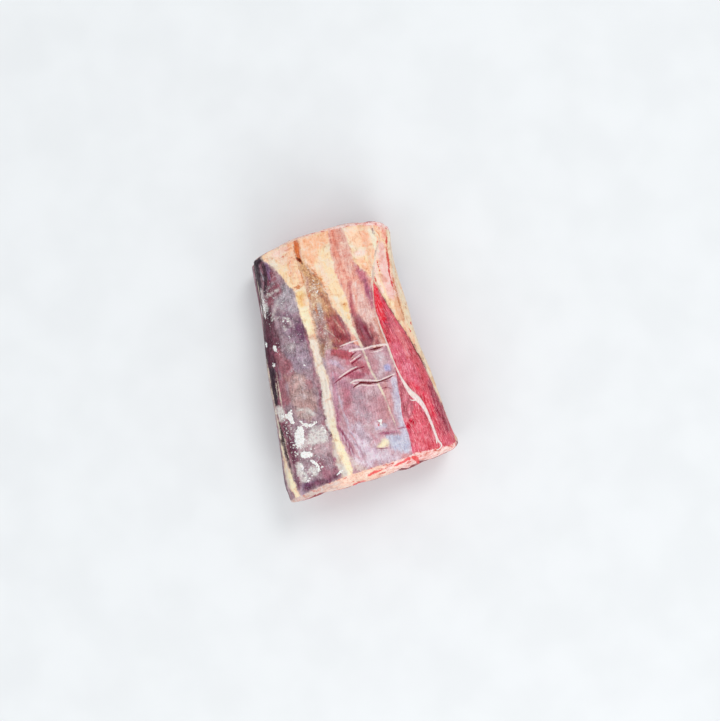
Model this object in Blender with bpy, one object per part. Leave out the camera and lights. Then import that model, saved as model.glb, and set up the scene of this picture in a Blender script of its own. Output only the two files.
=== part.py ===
"""Raw beef shank: a boneless slab of shank meat lying on its flat side.

Metres, +Z up, origin under the middle of the slab. +Y runs along the muscles, from the wide
cut to the narrow, tendinous cut. +X crosses them, towards the muscle whose membrane is gone.
The tables and sizes below are in millimetres, and MM turns them into metres at the end.
"""
import math

import bmesh
import bpy
from mathutils import Vector
from mathutils.geometry import delaunay_2d_cdt

MM = 0.001
NODE_NAME = "shank"

# Sides of the slab seen from above: (place along the length, place across).
LEFT_EDGE = ((-106, -73.8), (-98, -75.4), (-85, -75.4), (-60, -73.6), (-20, -71.4),
             (20, -67.8), (56, -64.0), (96, -63.6))
RIGHT_EDGE = ((-90, 79.0), (-72, 76.4), (-32, 69.2), (3, 61.8), (35, 60.9), (70, 60.2), (96, 62.6))

# Lengthwise lines on the top: two seams of fat, and the edge of the torn membrane.
SEAM_ONE = ((-105, -17), (-70, -20.5), (-50, -23), (-14, -23.4), (26, -24.6), (62, -27), (104, -39))
SEAM_TWO = ((-105, 29), (-55, 26), (-20, 20.4), (11, 12.8), (36, 5), (60, 3.5), (106, -3))
MEMBRANE_EDGE = ((-105, 37.4), (-48, 37.9), (-22, 38.6), (4, 36), (19, 34.2), (40, 33.8),
                 (57, 35.9), (80, 39.5), (106, 44))

# Thickness from the wide cut (0) to the narrow cut (1).
THICKNESS = ((0.0, 70.0), (0.22, 75.0), (0.55, 73.0), (0.85, 65.0), (1.0, 60.0))
EQUATOR = 0.52

# Cross-section: a superellipse, flatter underneath, where it rests on a flat face.
UPPER_EXPONENT = 3.1
LOWER_EXPONENT = 3.8
LOWER_STRETCH = 1.06
TOP_REACH = 0.90
TYPICAL_HALF_WIDTH = 68.0
TYPICAL_HALF_HEIGHT = 36.0

# The two cuts: the skin's edge across the slab, and how far the cut meat bulges past it.
# Places across run from -1 (left) to 1 (right).
WIDE_CUT_EDGE = ((-1.0, -109.0), (-0.85, -105.0), (-0.6, -100.2), (-0.36, -96.8),
                 (0.14, -93.6), (0.34, -92.6), (0.5, -90.8), (0.8, -91.4), (1.0, -90.4))
WIDE_CUT_BULGE = ((-1.0, 4.0), (-0.6, 8.8), (-0.1, 10.6), (0.4, 10.4), (0.8, 7.0), (1.0, 6.0))
NARROW_CUT_CREST = 107.5
NARROW_CUT_CREST_AT = 0.3
NARROW_CUT_BOW = -6.6
NARROW_CORNER_FROM = 0.8
NARROW_CORNER_DROP = 8.0
NARROW_CUT_BULGE = ((-1.0, 1.5), (0.0, 3.5), (1.0, 3.0))
CUT_DOME_DEPTH = 34.0
CUT_DOME_EXPONENT = 2.6
CUT_INSETS = (0.8, 2.6, 5.8, 10.5)
CUT_GRID = 6.4
WIDE_CUT_WAVE = 0.7
NARROW_CUT_WAVE = 0.35

# Muscle bundles on the cuts, (across, up) from the middle of the cut.
WIDE_BUNDLES = ((-54, 3), (-33, -17), (-30, 15), (-6, -5), (4, 20), (21, -18), (31, 9),
                (56, -10), (55, 15))
NARROW_BUNDLES = ((-44, 2), (-22, -14), (-19, 12), (3, -3), (22, 14), (27, -14), (46, 2))
BUNDLE_SEAM_WIDTH = 7.5
BUNDLE_SEAM_DEPTH = 1.7
BUNDLE_SWELL = 1.9
BUNDLE_RADIUS = 19.0
BUNDLE_FLATNESS = 1.2

# Relief of the top.
SEAM_GROOVE_WIDTH = 4.6
SEAM_ONE_DEPTH = 1.5
SEAM_TWO_DEPTH = 0.9
# Towards the narrow cut fat fills the seams, and the membrane is laid tighter at the wide one.
SEAM_FILLED_FROM = 15.0
SEAM_FILLED_TO = 60.0
SEAM_FILLED_SHARE = 0.7
MUSCLE_CROWN = 1.9
CROWN_FULLNESS = 0.8
MEMBRANE_TIGHTNESS = 0.4
MEMBRANE_THICKNESS = 2.0
MEMBRANE_LIP_INSIDE = 0.6
MEMBRANE_LIP_OUTSIDE = 0.9
MEMBRANE_APEX = 57.0
MEMBRANE_FADE = 16.0
BARE_MUSCLE_SLOPE = 3.0
# Low lumps: height, wavelength across, wavelength along, phase.
LUMPS = ((0.35, 38.0, 60.0, 0.7), (0.35, 38.0, -60.0, 2.1), (0.42, 44.0, -170.0, 2.0),
         (0.3, 21.0, 33.0, 4.4))
# Cross folds of the membrane: start x, y, end x, y, sag of the arc, height.
FOLDS = ((-3.4, 10.6, 8.9, 12.2, 0.6, 0.9), (4.8, 3.7, 33.9, 2.3, 0.8, 1.5),
         (1.7, -6.6, 12.3, -3.1, 0.6, 0.8), (-13.3, -18.6, 13.8, -11.5, 1.4, 1.4),
         (1.2, -26.1, 34.3, -22.4, -0.9, 1.5))
FOLD_RIDGE_WIDTH = 1.9
FOLD_CREASE_OFFSET = 2.6
FOLD_CREASE_SHARE = 0.8
FOLD_MIDDLE = -7.0
FOLD_SPAN = 24.0

# Relief of the sides: grooves between muscle rolls, by height above (+) or below the equator.
LEFT_GROOVE_HEIGHTS = (0.16, -0.62)
RIGHT_GROOVE_HEIGHTS = (0.36, -0.30)
SIDE_GROOVE_WIDTH = 0.20
SIDE_GROOVE_DEPTH = 3.0
SIDE_GROOVE_WANDER = 0.1
SIDE_GROOVE_WAVELENGTH = 258.0
SIDE_SWELL = 1.3
SIDE_SWELL_WAVELENGTH = 150.0
SIDE_SWELL_TURN = 4.0

# How the relief of the top and the sides fades into each other, by height and by place across.
TOP_RELIEF_FADE = (0.2, 0.75)
SIDE_RELIEF_ACROSS = (0.55, 0.95)
SIDE_RELIEF_TOP = (0.5, 0.9)
SIDE_RELIEF_FOOT = (-0.95, -0.6)
CUT_RELIEF_FADE = (1.0, 7.0)

# Mesh density.
STATIONS = 52
FOLD_DENSITY = 1.5
COLUMNS_LEFT = 10
COLUMNS_MIDDLE = 11
COLUMNS_MEMBRANE = 4
COLUMNS_BARE = 7
SIDE_POINTS = 13
BOTTOM_COLUMNS = 12
CURVE_SAMPLES = 400


def mix(start, end, share):
    return start + (end - start) * share


def smooth_step(low, high, value):
    share = min(1.0, max(0.0, (value - low) / (high - low)))
    return share * share * (3.0 - 2.0 * share)


def bell(offset):
    return math.exp(-offset * offset)


def key_slope(table, index):
    """Slope of a key table at one of its keys."""
    before = table[max(index - 1, 0)]
    after = table[min(index + 1, len(table) - 1)]
    return (after[1] - before[1]) / (after[0] - before[0])


def follow(table, place):
    """Smooth curve through a table of (place, value) keys, level past its ends."""
    if place <= table[0][0]:
        return table[0][1]
    if place >= table[-1][0]:
        return table[-1][1]
    index = 0
    while place > table[index + 1][0]:
        index += 1
    start, end = table[index], table[index + 1]
    span = end[0] - start[0]
    share = (place - start[0]) / span
    turn = share * share * (3.0 - 2.0 * share)
    lead = share * (1.0 - share) ** 2 * span * key_slope(table, index)
    tail = share * share * (share - 1.0) * span * key_slope(table, index + 1)
    return mix(start[1], end[1], turn) + lead + tail


def wide_cut(across):
    """Place of the skin's edge at the wide cut."""
    return follow(WIDE_CUT_EDGE, across) + WIDE_CUT_WAVE * math.sin(9.0 * across + 0.4)


def narrow_cut(across):
    """Place of the skin's edge at the narrow cut."""
    bow = NARROW_CUT_BOW * (across - NARROW_CUT_CREST_AT) ** 2
    corner = max(0.0, (across - NARROW_CORNER_FROM) / (1.0 - NARROW_CORNER_FROM))
    wave = NARROW_CUT_WAVE * math.sin(11.0 * across + 1.3)
    return NARROW_CUT_CREST + bow - NARROW_CORNER_DROP * corner * corner + wave


def length_at(across, station):
    return mix(wide_cut(across), narrow_cut(across), station)


def side_edges(station):
    """Left and right edge of the slab at a station."""
    left = follow(LEFT_EDGE, length_at(-1.0, station))
    right = follow(RIGHT_EDGE, length_at(1.0, station))
    return left, right


def across_of_line(table, station):
    """Where a lengthwise line crosses a station, as a share across the slab."""
    left, right = side_edges(station)
    across = 0.0
    for _ in range(4):
        place = follow(table, length_at(across, station))
        across = 2.0 * (place - left) / (right - left) - 1.0
    return across


def fold_relief(x, y):
    """Height of the membrane's cross folds: a ridge with a crease on its near side."""
    height = 0.0
    for start_x, start_y, end_x, end_y, sag, rise in FOLDS:
        run_x, run_y = end_x - start_x, end_y - start_y
        run = math.hypot(run_x, run_y)
        share = ((x - start_x) * run_x + (y - start_y) * run_y) / (run * run)
        if share < -0.15 or share > 1.15:
            continue
        away = ((y - start_y) * run_x - (x - start_x) * run_y) / run
        away -= sag * 4.0 * share * (1.0 - share)
        taper = smooth_step(-0.15, 0.2, share) * (1.0 - smooth_step(0.8, 1.15, share))
        ridge = bell(away / FOLD_RIDGE_WIDTH)
        crease = FOLD_CREASE_SHARE * bell((away + FOLD_CREASE_OFFSET) / FOLD_RIDGE_WIDTH)
        height += rise * taper * (ridge - crease)
    return height


def crown(x, left, right):
    """Rounded back of one muscle between two lines."""
    share = (x - left) / (right - left)
    if share <= 0.0 or share >= 1.0:
        return 0.0
    return MUSCLE_CROWN * math.sin(math.pi * share) ** CROWN_FULLNESS


def waves(x, y, table):
    """Sum of plane waves from a table of (height, wavelength across, wavelength along, phase)."""
    return sum(height * math.sin(2.0 * math.pi * (x / across + y / along) + phase)
               for height, across, along, phase in table)


def top_relief(x, y, left, right):
    """Height of the top's muscles, seams, membrane step, lumps and folds over the plain section."""
    seam_one = follow(SEAM_ONE, y)
    edge = follow(MEMBRANE_EDGE, y)
    filled = smooth_step(SEAM_FILLED_FROM, SEAM_FILLED_TO, y)
    sinking = 1.0 - SEAM_FILLED_SHARE * filled
    height = crown(x, left, seam_one)
    height += crown(x, seam_one, edge) * (1.0 - MEMBRANE_TIGHTNESS * (1.0 - filled))
    height -= sinking * SEAM_ONE_DEPTH * bell((x - seam_one) / SEAM_GROOVE_WIDTH)
    height -= sinking * SEAM_TWO_DEPTH * bell((x - follow(SEAM_TWO, y)) / SEAM_GROOVE_WIDTH)
    bare = smooth_step(0.0, MEMBRANE_FADE, MEMBRANE_APEX - y)
    past = smooth_step(-MEMBRANE_LIP_INSIDE, MEMBRANE_LIP_OUTSIDE, x - edge)
    slope = BARE_MUSCLE_SLOPE * max(0.0, x - edge) / (right - edge)
    height -= bare * (MEMBRANE_THICKNESS * past + slope)
    return height + waves(x, y, LUMPS) + fold_relief(x, y)


def side_relief(across, height, y):
    """How far a side stands out; height runs from 1 (top) through 0 to -1 (underside)."""
    grooves = LEFT_GROOVE_HEIGHTS if across < 0.0 else RIGHT_GROOVE_HEIGHTS
    swell_turn = 2.0 * math.pi * y / SIDE_SWELL_WAVELENGTH + SIDE_SWELL_TURN * height + across
    groove_turn = 2.0 * math.pi * y / SIDE_GROOVE_WAVELENGTH
    relief = SIDE_SWELL * math.sin(swell_turn)
    for level in grooves:
        wandered = level + SIDE_GROOVE_WANDER * math.sin(groove_turn + 5.0 * level)
        relief -= SIDE_GROOVE_DEPTH * bell((height - wandered) / SIDE_GROOVE_WIDTH)
    return relief


def superellipse_height(across, exponent):
    return (1.0 - abs(across) ** exponent) ** (1.0 / exponent)


def section_point(across, height, station):
    """A point of the slab from its share across and its share of the height, -1 to 1."""
    left, right = side_edges(station)
    y = length_at(across, station)
    x = mix(left, right, 0.5 * (across + 1.0))
    thickness = follow(THICKNESS, station)
    middle = EQUATOR * thickness
    if height >= 0.0:
        z = middle + (thickness - middle) * height
    else:
        z = middle * max(0.0, 1.0 + height * LOWER_STRETCH)
    z += smooth_step(*TOP_RELIEF_FADE, height) * top_relief(x, y, left, right)
    side_share = smooth_step(*SIDE_RELIEF_ACROSS, abs(across))
    side_share *= 1.0 - smooth_step(*SIDE_RELIEF_TOP, height)
    side_share *= smooth_step(*SIDE_RELIEF_FOOT, height)
    x += math.copysign(side_share, across) * side_relief(across, height, y)
    return x, y, z


def lower_reach():
    """Share across where the underside turns flat."""
    height = 1.0 / LOWER_STRETCH
    return (1.0 - height ** LOWER_EXPONENT) ** (1.0 / LOWER_EXPONENT)


def top_columns(station):
    """Shares across of the top's points, with columns along the seams and the membrane's edge."""
    left, right = side_edges(station)
    lip = 2.0 / (right - left)
    edge = across_of_line(MEMBRANE_EDGE, station)
    anchors = (-TOP_REACH, across_of_line(SEAM_ONE, station), across_of_line(SEAM_TWO, station),
               edge - MEMBRANE_LIP_INSIDE * lip, edge + MEMBRANE_LIP_OUTSIDE * lip, TOP_REACH)
    counts = (COLUMNS_LEFT, COLUMNS_MIDDLE, COLUMNS_MEMBRANE, 1, COLUMNS_BARE)
    columns = [anchors[0]]
    for start, end, count in zip(anchors, anchors[1:], counts):
        columns += [mix(start, end, (step + 1) / count) for step in range(count)]
    return columns


def side_profile():
    """(across, height) shares down the right side, evenly spaced from the top to the underside."""
    top = superellipse_height(TOP_REACH, UPPER_EXPONENT)
    samples = []
    for step in range(CURVE_SAMPLES + 1):
        height = mix(top, -1.0 / LOWER_STRETCH, step / CURVE_SAMPLES)
        exponent = UPPER_EXPONENT if height >= 0.0 else LOWER_EXPONENT
        samples.append((superellipse_height(height, exponent), height))
    walked = [0.0]
    for before, after in zip(samples, samples[1:]):
        step_x = (after[0] - before[0]) * TYPICAL_HALF_WIDTH
        step_z = (after[1] - before[1]) * TYPICAL_HALF_HEIGHT
        walked.append(walked[-1] + math.hypot(step_x, step_z))
    profile = []
    sample = 0
    for point in range(SIDE_POINTS):
        wanted = walked[-1] * (point + 1) / (SIDE_POINTS + 1)
        while walked[sample + 1] < wanted:
            sample += 1
        profile.append(samples[sample])
    return profile


def ring_points(station):
    """Closed cross-section at a station: over the top, down the right, under, up the left."""
    shares = [(across, superellipse_height(across, UPPER_EXPONENT)) for across in top_columns(station)]
    side = side_profile()
    shares += side
    reach = lower_reach()
    for step in range(BOTTOM_COLUMNS + 1):
        shares.append((mix(reach, -reach, step / BOTTOM_COLUMNS), -1.0))
    shares += [(-across, height) for across, height in reversed(side)]
    return [section_point(across, height, station) for across, height in shares]


def station_shares():
    """Stations from the wide cut to the narrow one, closer together at the folds."""
    wide, narrow = wide_cut(0.0), narrow_cut(0.0)
    reached = [0.0]
    for step in range(CURVE_SAMPLES):
        y = mix(wide, narrow, (step + 0.5) / CURVE_SAMPLES)
        reached.append(reached[-1] + 1.0 + FOLD_DENSITY * bell((y - FOLD_MIDDLE) / FOLD_SPAN))
    shares = []
    sample = 0
    for station in range(STATIONS):
        wanted = reached[-1] * station / (STATIONS - 1)
        while sample < CURVE_SAMPLES - 1 and reached[sample + 1] < wanted:
            sample += 1
        part = (wanted - reached[sample]) / (reached[sample + 1] - reached[sample])
        shares.append((sample + part) / CURVE_SAMPLES)
    return shares


def bundle_relief(across_mm, up_mm, bundles):
    """Swelling of the muscle bundles on a cut, with the seams between them sunk."""
    distances = sorted(math.hypot(across_mm - x, BUNDLE_FLATNESS * (up_mm - z))
                       for x, z in bundles)
    nearest, second = distances[0], distances[1]
    seam = 1.0 - smooth_step(0.0, BUNDLE_SEAM_WIDTH, second - nearest)
    swell = BUNDLE_SWELL * max(0.0, 1.0 - (nearest / BUNDLE_RADIUS) ** 2)
    return swell - BUNDLE_SEAM_DEPTH * seam


def inset_at(x, z, half_x, half_z):
    """How far inside the cut's outline a point lies, from its offset to the cut's middle."""
    low, high = 0.0, half_z - 0.01
    for _ in range(24):
        inset = 0.5 * (low + high)
        reach_x, reach_z = abs(x) / (half_x - inset), abs(z) / (half_z - inset)
        if reach_x ** UPPER_EXPONENT + reach_z ** UPPER_EXPONENT < 1.0:
            low = inset
        else:
            high = inset
    return inset


class Cut:
    """One cut face: a dome of muscle bundles inside the skin's edge."""

    def __init__(self, station, edge, direction, bulge, bundles):
        left, right = side_edges(station)
        self.middle_x, self.half_x = 0.5 * (left + right), 0.5 * (right - left)
        self.half_z = 0.5 * follow(THICKNESS, station)
        self.edge, self.direction, self.bulge, self.bundles = edge, direction, bulge, bundles

    def place(self, x, z, inset):
        """Point of the cut at an offset from its middle."""
        share = min(1.0, inset / CUT_DOME_DEPTH)
        dome = (1.0 - (1.0 - share) ** CUT_DOME_EXPONENT) ** (1.0 / CUT_DOME_EXPONENT)
        relief = bundle_relief(x, z, self.bundles) * smooth_step(*CUT_RELIEF_FADE, inset)
        across = x / self.half_x
        y = self.edge(across) + self.direction * (follow(self.bulge, across) * dome + relief)
        return self.middle_x + x, y, self.half_z + z

    def ring(self, edge_points, inset):
        """The slab's end ring drawn in by an inset."""
        shrink_x, shrink_z = 1.0 - inset / self.half_x, 1.0 - inset / self.half_z
        return [self.place((x - self.middle_x) * shrink_x, (z - self.half_z) * shrink_z, inset)
                for x, _, z in edge_points]

    def grid(self, first_inset):
        """Offsets of evenly spread points, with their insets, inside the last ring."""
        rows, columns = int(self.half_z / CUT_GRID), int(self.half_x / CUT_GRID) + 1
        points = []
        for row in range(-rows, rows + 1):
            stagger = 0.5 * CUT_GRID * (row % 2)
            for column in range(-columns, columns + 1):
                x, z = column * CUT_GRID + stagger, row * CUT_GRID
                if abs(x) >= self.half_x - first_inset or abs(z) >= self.half_z - first_inset:
                    continue
                inset = inset_at(x, z, self.half_x, self.half_z)
                if inset > first_inset + 0.6 * CUT_GRID:
                    points.append((x, z, inset))
        return points


def add_ring(mesh, points):
    return [mesh.verts.new((x * MM, y * MM, z * MM)) for x, y, z in points]


def join_rings(mesh, first, second):
    count = len(first)
    for index in range(count):
        following = (index + 1) % count
        mesh.faces.new((first[index], first[following], second[following], second[index]))


def close_cut(mesh, edge_ring, cut):
    """Closes one end of the slab with shrinking rings and a net of triangles inside them."""
    edge_points = [tuple(vertex.co / MM) for vertex in edge_ring]
    last = edge_ring
    for inset in CUT_INSETS:
        ring = add_ring(mesh, cut.ring(edge_points, inset))
        join_rings(mesh, last, ring)
        last = ring
    inner = cut.grid(CUT_INSETS[-1])
    flat = [Vector((vertex.co.x, vertex.co.z)) / MM for vertex in last]
    border = [(index, (index + 1) % len(flat)) for index in range(len(flat))]
    flat += [Vector((cut.middle_x + x, cut.half_z + z)) for x, z, _ in inner]
    net = delaunay_2d_cdt(flat, border, [], 1, 1e-4)
    vertices = last + add_ring(mesh, [cut.place(*point) for point in inner])
    for corners in net[2]:
        mesh.faces.new([vertices[net[3][corner][0]] for corner in corners])


def centre_on_origin(mesh):
    """Puts the middle of the slab's box over the origin; the underside is already at zero."""
    for axis in (0, 1):
        places = [vertex.co[axis] for vertex in mesh.verts]
        middle = 0.5 * (min(places) + max(places))
        for vertex in mesh.verts:
            vertex.co[axis] -= middle


def shank_mesh():
    mesh = bmesh.new()
    body_rings = [add_ring(mesh, ring_points(station)) for station in station_shares()]
    for first, second in zip(body_rings, body_rings[1:]):
        join_rings(mesh, first, second)
    close_cut(mesh, body_rings[0], Cut(0.0, wide_cut, -1.0, WIDE_CUT_BULGE, WIDE_BUNDLES))
    close_cut(mesh, body_rings[-1], Cut(1.0, narrow_cut, 1.0, NARROW_CUT_BULGE, NARROW_BUNDLES))
    centre_on_origin(mesh)
    bmesh.ops.recalc_face_normals(mesh, faces=mesh.faces)
    return mesh


def muscle_material():
    material = bpy.data.materials.new("raw_muscle")
    material.use_nodes = True
    shader = material.node_tree.nodes["Principled BSDF"]
    shader.inputs["Base Color"].default_value = (0.36, 0.11, 0.12, 1.0)
    shader.inputs["Roughness"].default_value = 0.35
    shader.inputs["Metallic"].default_value = 0.0
    return material


def build_shank():
    built = shank_mesh()
    data = bpy.data.meshes.new(NODE_NAME)
    built.to_mesh(data)
    built.free()
    data.materials.append(muscle_material())
    shank = bpy.data.objects.new(NODE_NAME, data)
    bpy.context.scene.collection.objects.link(shank)
    data.shade_smooth()
    return shank


for leftover in list(bpy.data.objects):
    bpy.data.objects.remove(leftover, do_unlink=True)
build_shank()
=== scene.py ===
"""Raw beef shank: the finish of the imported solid.

A closed skin is copied from the solid, made dense and given its fine relief. Signed distances
to the fat, the muscles, the creases and the frost are stored on it in millimetres, and the
materials turn them into colour, gloss and bump. The strands of tendon are a piece of their own,
laid on the skin.
"""
import math

import bpy
import numpy as np
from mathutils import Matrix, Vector, noise
from mathutils.bvhtree import BVHTree


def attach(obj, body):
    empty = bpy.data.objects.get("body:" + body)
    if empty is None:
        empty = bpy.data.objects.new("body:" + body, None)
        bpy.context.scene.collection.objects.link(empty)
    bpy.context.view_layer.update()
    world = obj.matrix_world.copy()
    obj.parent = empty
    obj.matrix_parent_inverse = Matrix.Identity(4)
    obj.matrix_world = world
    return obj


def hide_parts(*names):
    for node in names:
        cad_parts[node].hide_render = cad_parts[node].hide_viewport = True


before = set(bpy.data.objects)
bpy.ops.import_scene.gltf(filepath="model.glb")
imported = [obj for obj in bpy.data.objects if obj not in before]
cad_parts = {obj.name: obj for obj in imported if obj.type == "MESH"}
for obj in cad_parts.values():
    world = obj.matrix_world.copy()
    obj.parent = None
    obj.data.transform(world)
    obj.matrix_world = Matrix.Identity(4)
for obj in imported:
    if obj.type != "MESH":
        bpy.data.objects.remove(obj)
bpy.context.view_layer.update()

MM = 0.001

# Camera, straight above the meat, in millimetres and degrees.
CAMERA_FOOT = (9.7, -5.4)
CAMERA_HEIGHT = 750.0
CAMERA_TURN = 12.6
CAMERA_LENS = 41.04
SENSOR = 36.0

# The marks below are measured on a level plane through the top, as the camera sees them.
MARK_LEVEL = 68.0
MARK_ZERO = (-1.3, -0.5)


# ------------------------------------------------------------------ colours, sRGB 0 to 255
# Dark plum muscle, also used darkened as painted shade on the left side.
SHADED_PLUM = (50, 26, 40)
MAROON_DARK = (88, 40, 57)
MAROON = (122, 72, 84)
MAROON_RED = (146, 88, 98)
BROWN_PLUM = (124, 84, 92)
PLUM_DARK = (112, 66, 86)
PURPLE_DARK = (102, 60, 88)
PURPLE_BROWN = (145, 82, 93)
DUSKY_PLUM = (152, 100, 114)
DUSKY = (180, 150, 154)
HAZE_MID = (160, 134, 142)
HAZE_WARM = (154, 130, 136)
HAZE_LIGHT = (184, 177, 175)
GREY_VIOLET = (146, 120, 134)
LILAC_GREY = (156, 134, 148)
VIOLET = (128, 98, 130)
HAZE_BLUE = (168, 156, 162)
BROWN_GROUND = (216, 168, 130)
PURPLE_ROSE = (192, 112, 126)
VIOLET_ROSE = (164, 92, 118)
CREAM_LIGHT = (248, 236, 203)
FAT_GREY = (214, 200, 186)
MAGENTA_DEEP = (150, 62, 92)
PINK_GREY = (178, 138, 142)
PINK_GREY_WARM = (226, 180, 166)
PALE_STREAK = (166, 160, 168)
ROSE_BROWN = (160, 104, 112)
ROSE_DUSTY = (178, 140, 136)
BEIGE_ROSE = (190, 160, 154)
BROWN_ROSE = (170, 136, 132)
GREY_BEIGE = (188, 166, 160)
CRUST = (208, 198, 192)
TAUPE = (200, 168, 152)
TAN = (220, 178, 134)
TAN_ROSE = (206, 164, 150)
CREAM_BEIGE = (222, 190, 160)
BROWN_RED = (168, 104, 90)
BROWN_SPECK = (150, 88, 66)
BROWN_BLACK = (92, 38, 28)
DARK_BROWN = (58, 32, 34)
ORANGE_BROWN = (214, 122, 80)
OCHRE = (178, 138, 112)
MUSCLE_DULL = (166, 88, 92)
MUSCLE_DEEP = (140, 58, 66)
MAROON_DEEP = (128, 30, 54)
DUSTY_RED = (172, 98, 98)
RED_BLUSH = (238, 152, 152)
TAN_BROWN = (206, 142, 124)
SALMON = (236, 178, 160)
CORAL = (224, 140, 122)
CORAL_PALE = (220, 160, 160)
ROSE_RED = (198, 112, 118)
ROSE_DEEP = (176, 78, 92)
MAUVE = (200, 158, 166)
MAUVE_WARM = (196, 146, 152)
MAUVE_PALE = (205, 179, 184)
MAUVE_ROSE = (182, 134, 149)
ROSE_MEMBRANE = (188, 112, 122)
ROSE_CRIMSON = (182, 96, 106)
ROSE_MAUVE = (181, 120, 135)
ROSE_PALE = (202, 142, 158)
ROSE_DARK = (178, 102, 118)
GREY_MAUVE = (181, 150, 160)
BLUISH_PINK = (197, 170, 186)
BLUE_FILM_AND_SHEEN = (172, 169, 204)
LILAC_FILM_AND_SHEEN = (206, 200, 215)
LILAC_MID = (198, 179, 191)
BLUISH_WHITE_AND_SHEEN = (200, 200, 216)
PALE_LILAC = (218, 200, 210)
LILAC_LIGHT = (230, 212, 222)
BEIGE_BLUSH = (208, 156, 156)
BEIGE_WARM = (232, 194, 184)
PLUM_DEEP = (98, 46, 62)
# Dark wine muscle, used as painted shade along the left edge.
SHADED_WINE = (60, 24, 42)
ROSE_SMOKE = (148, 90, 100)
PURPLE_SMOKE = (124, 84, 104)
BEIGE_PALE = (216, 195, 188)
MAGENTA = (176, 118, 138)
RED_MUSCLE = (216, 100, 113)
RED_BRIGHT = (236, 66, 78)
RED_DEEP = (198, 56, 70)
RED_PALE = (232, 158, 162)
RED_THREAD = (242, 176, 182)
RED_ROSE = (222, 116, 134)
RED_CORAL = (210, 92, 100)
RED_CLEAR = (222, 84, 98)
RED_SALMON = (224, 124, 135)
DULL_RED = (193, 112, 124)
WINE = (152, 44, 68)
# Painted shadow beside the bare muscle.
SHADOW_WINE = (112, 30, 44)
BLOOD_DARK = (182, 32, 51)
BLOOD_RED = (206, 36, 48)
BLOOD_BRIGHT = (232, 66, 70)
PEACH_CREAM = (247, 213, 184)
PEACH = (248, 196, 163)
PEACH_LIGHT = (252, 214, 184)
PEACH_DEEP = (251, 193, 164)
PEACH_ORANGE = (236, 180, 148)
PINK_WHITE = (248, 218, 205)
RIM_WHITE = (253, 226, 222)
RIM_CREAM = (248, 212, 192)
RIM_CORAL = (230, 128, 124)
RIM_GREY = (212, 192, 186)
GREEN_WHITE = (238, 221, 199)
GREEN_CREAM = (240, 230, 206)
YELLOW = (246, 210, 154)
OLD_CREAM = (236, 225, 202)
CREAM_PEACH = (249, 222, 185)
CREAM = (238, 219, 192)
ORANGE_YELLOW = (246, 205, 146)
BEIGE_GREY = (210, 191, 181)
IVORY = (238, 227, 214)
ROSY = (243, 202, 195)
ROSY_PALE = (246, 217, 209)
ROSY_WARM = (243, 184, 168)
FROST_WHITE = (243, 242, 239)
FROST_SOFT = (224, 219, 214)
FAT_HAZE = (226, 208, 198)
RUST_STAIN = (200, 122, 82)
# Painted shade in slits and creases, and a painted highlight on ridges.
SLIT_SHADE_BROWN = (104, 40, 26)
SLIT_SHADE_RED = (134, 44, 52)
CREASE_SHADE_CRIMSON = (142, 48, 70)
RIDGE_HIGHLIGHT = (240, 224, 220)
SEAM_CREAM = (238, 212, 198)
SINEW_WHITE = (232, 218, 208)
CUT_RED = (176, 48, 60)
CUT_DARK = (124, 30, 44)
CUT_PALE = (206, 96, 100)
TENDON_WHITE = (240, 228, 224)
TENDON_PINK = (226, 196, 194)
DEEP_TINT = (176, 128, 138)
WARM_TINT = (226, 190, 168)
FILM_WHITE = (212, 203, 208)
FLOOR_SHADE = (230, 232, 233)
FLOOR_LIGHT = (234, 236, 237)


def linear(colour):
    """An sRGB colour, 0 to 255, as the linear colour that shaders use."""
    parts = [c / 255.0 for c in colour]
    parts = [c / 12.92 if c <= 0.04045 else ((c + 0.055) / 1.055) ** 2.4 for c in parts]
    return (*parts, 1.0)


# ------------------------------------------------------------------ marks on the top, mm
LEFT_SIDE = ((-59, 96), (-58.5, 86), (-58.5, 70), (-60, 50), (-64.5, 31), (-64.5, 15), (-65.5, -4),
             (-66.5, -24), (-68, -43), (-69.5, -66), (-71, -88), (-72, -105))
SOLID_STEP = ((36, 60), (34.5, 41), (34.5, 29), (35.5, 16), (36, 4), (38, -12), (38.6, -22),
              (38, -42), (36.5, -58), (36.8, -72), (37, -92))
MEMBRANE_EDGE = ((36, 58), (34, 49.6), (32.6, 38.8), (32.4, 31.6), (33.2, 25), (34, 16.4), (35.4, 7.4),
                 (36.2, 0), (37.2, -8), (38.2, -16), (38, -22), (36.9, -33), (36.7, -44), (35.4, -54),
                 (35.5, -64), (36.9, -71), (37.2, -80), (37.8, -92))
SHADOW_LINE = ((36.6, 57), (38.8, 51), (41, 44), (43.6, 36), (49, 23), (54.5, 10), (58, -4),
               (62.5, -19), (66.5, -35), (69.5, -50), (71.5, -63), (73, -77), (73.5, -91))
SHADOW_WIDTHS = (0.1, 0.2, 0.4) + (0.6,) * 6 + (0.45,) * 4
RIGHT_SIDE = ((63, 96), (59.5, 76), (60, 60), (60, 44), (60.5, 27), (62, 10), (64.5, -6), (66.5, -23),
              (69, -40), (72, -57), (75, -72), (78, -90))
FAT_LINE_ONE = ((-24.8, 56), (-24.8, 48), (-24.4, 40), (-24, 33), (-23.7, 26), (-23.3, 19), (-22.9, 11),
                (-23.2, 3), (-22.4, -6), (-21.4, -16), (-22.2, -27), (-23, -37), (-23.3, -46),
                (-22.9, -54), (-21.9, -63), (-21.1, -71), (-19.9, -80), (-18.9, -88), (-18.2, -95))
FAT_LINE_ONE_WIDTHS = (5, 4.5, 4.2, 3.6, 3.1, 2.9, 2.8, 2.8, 3.2, 3.4, 3.4, 3.4, 3.2, 2.8, 3.0, 3.4,
                       4.0, 4.2, 2.8)
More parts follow.
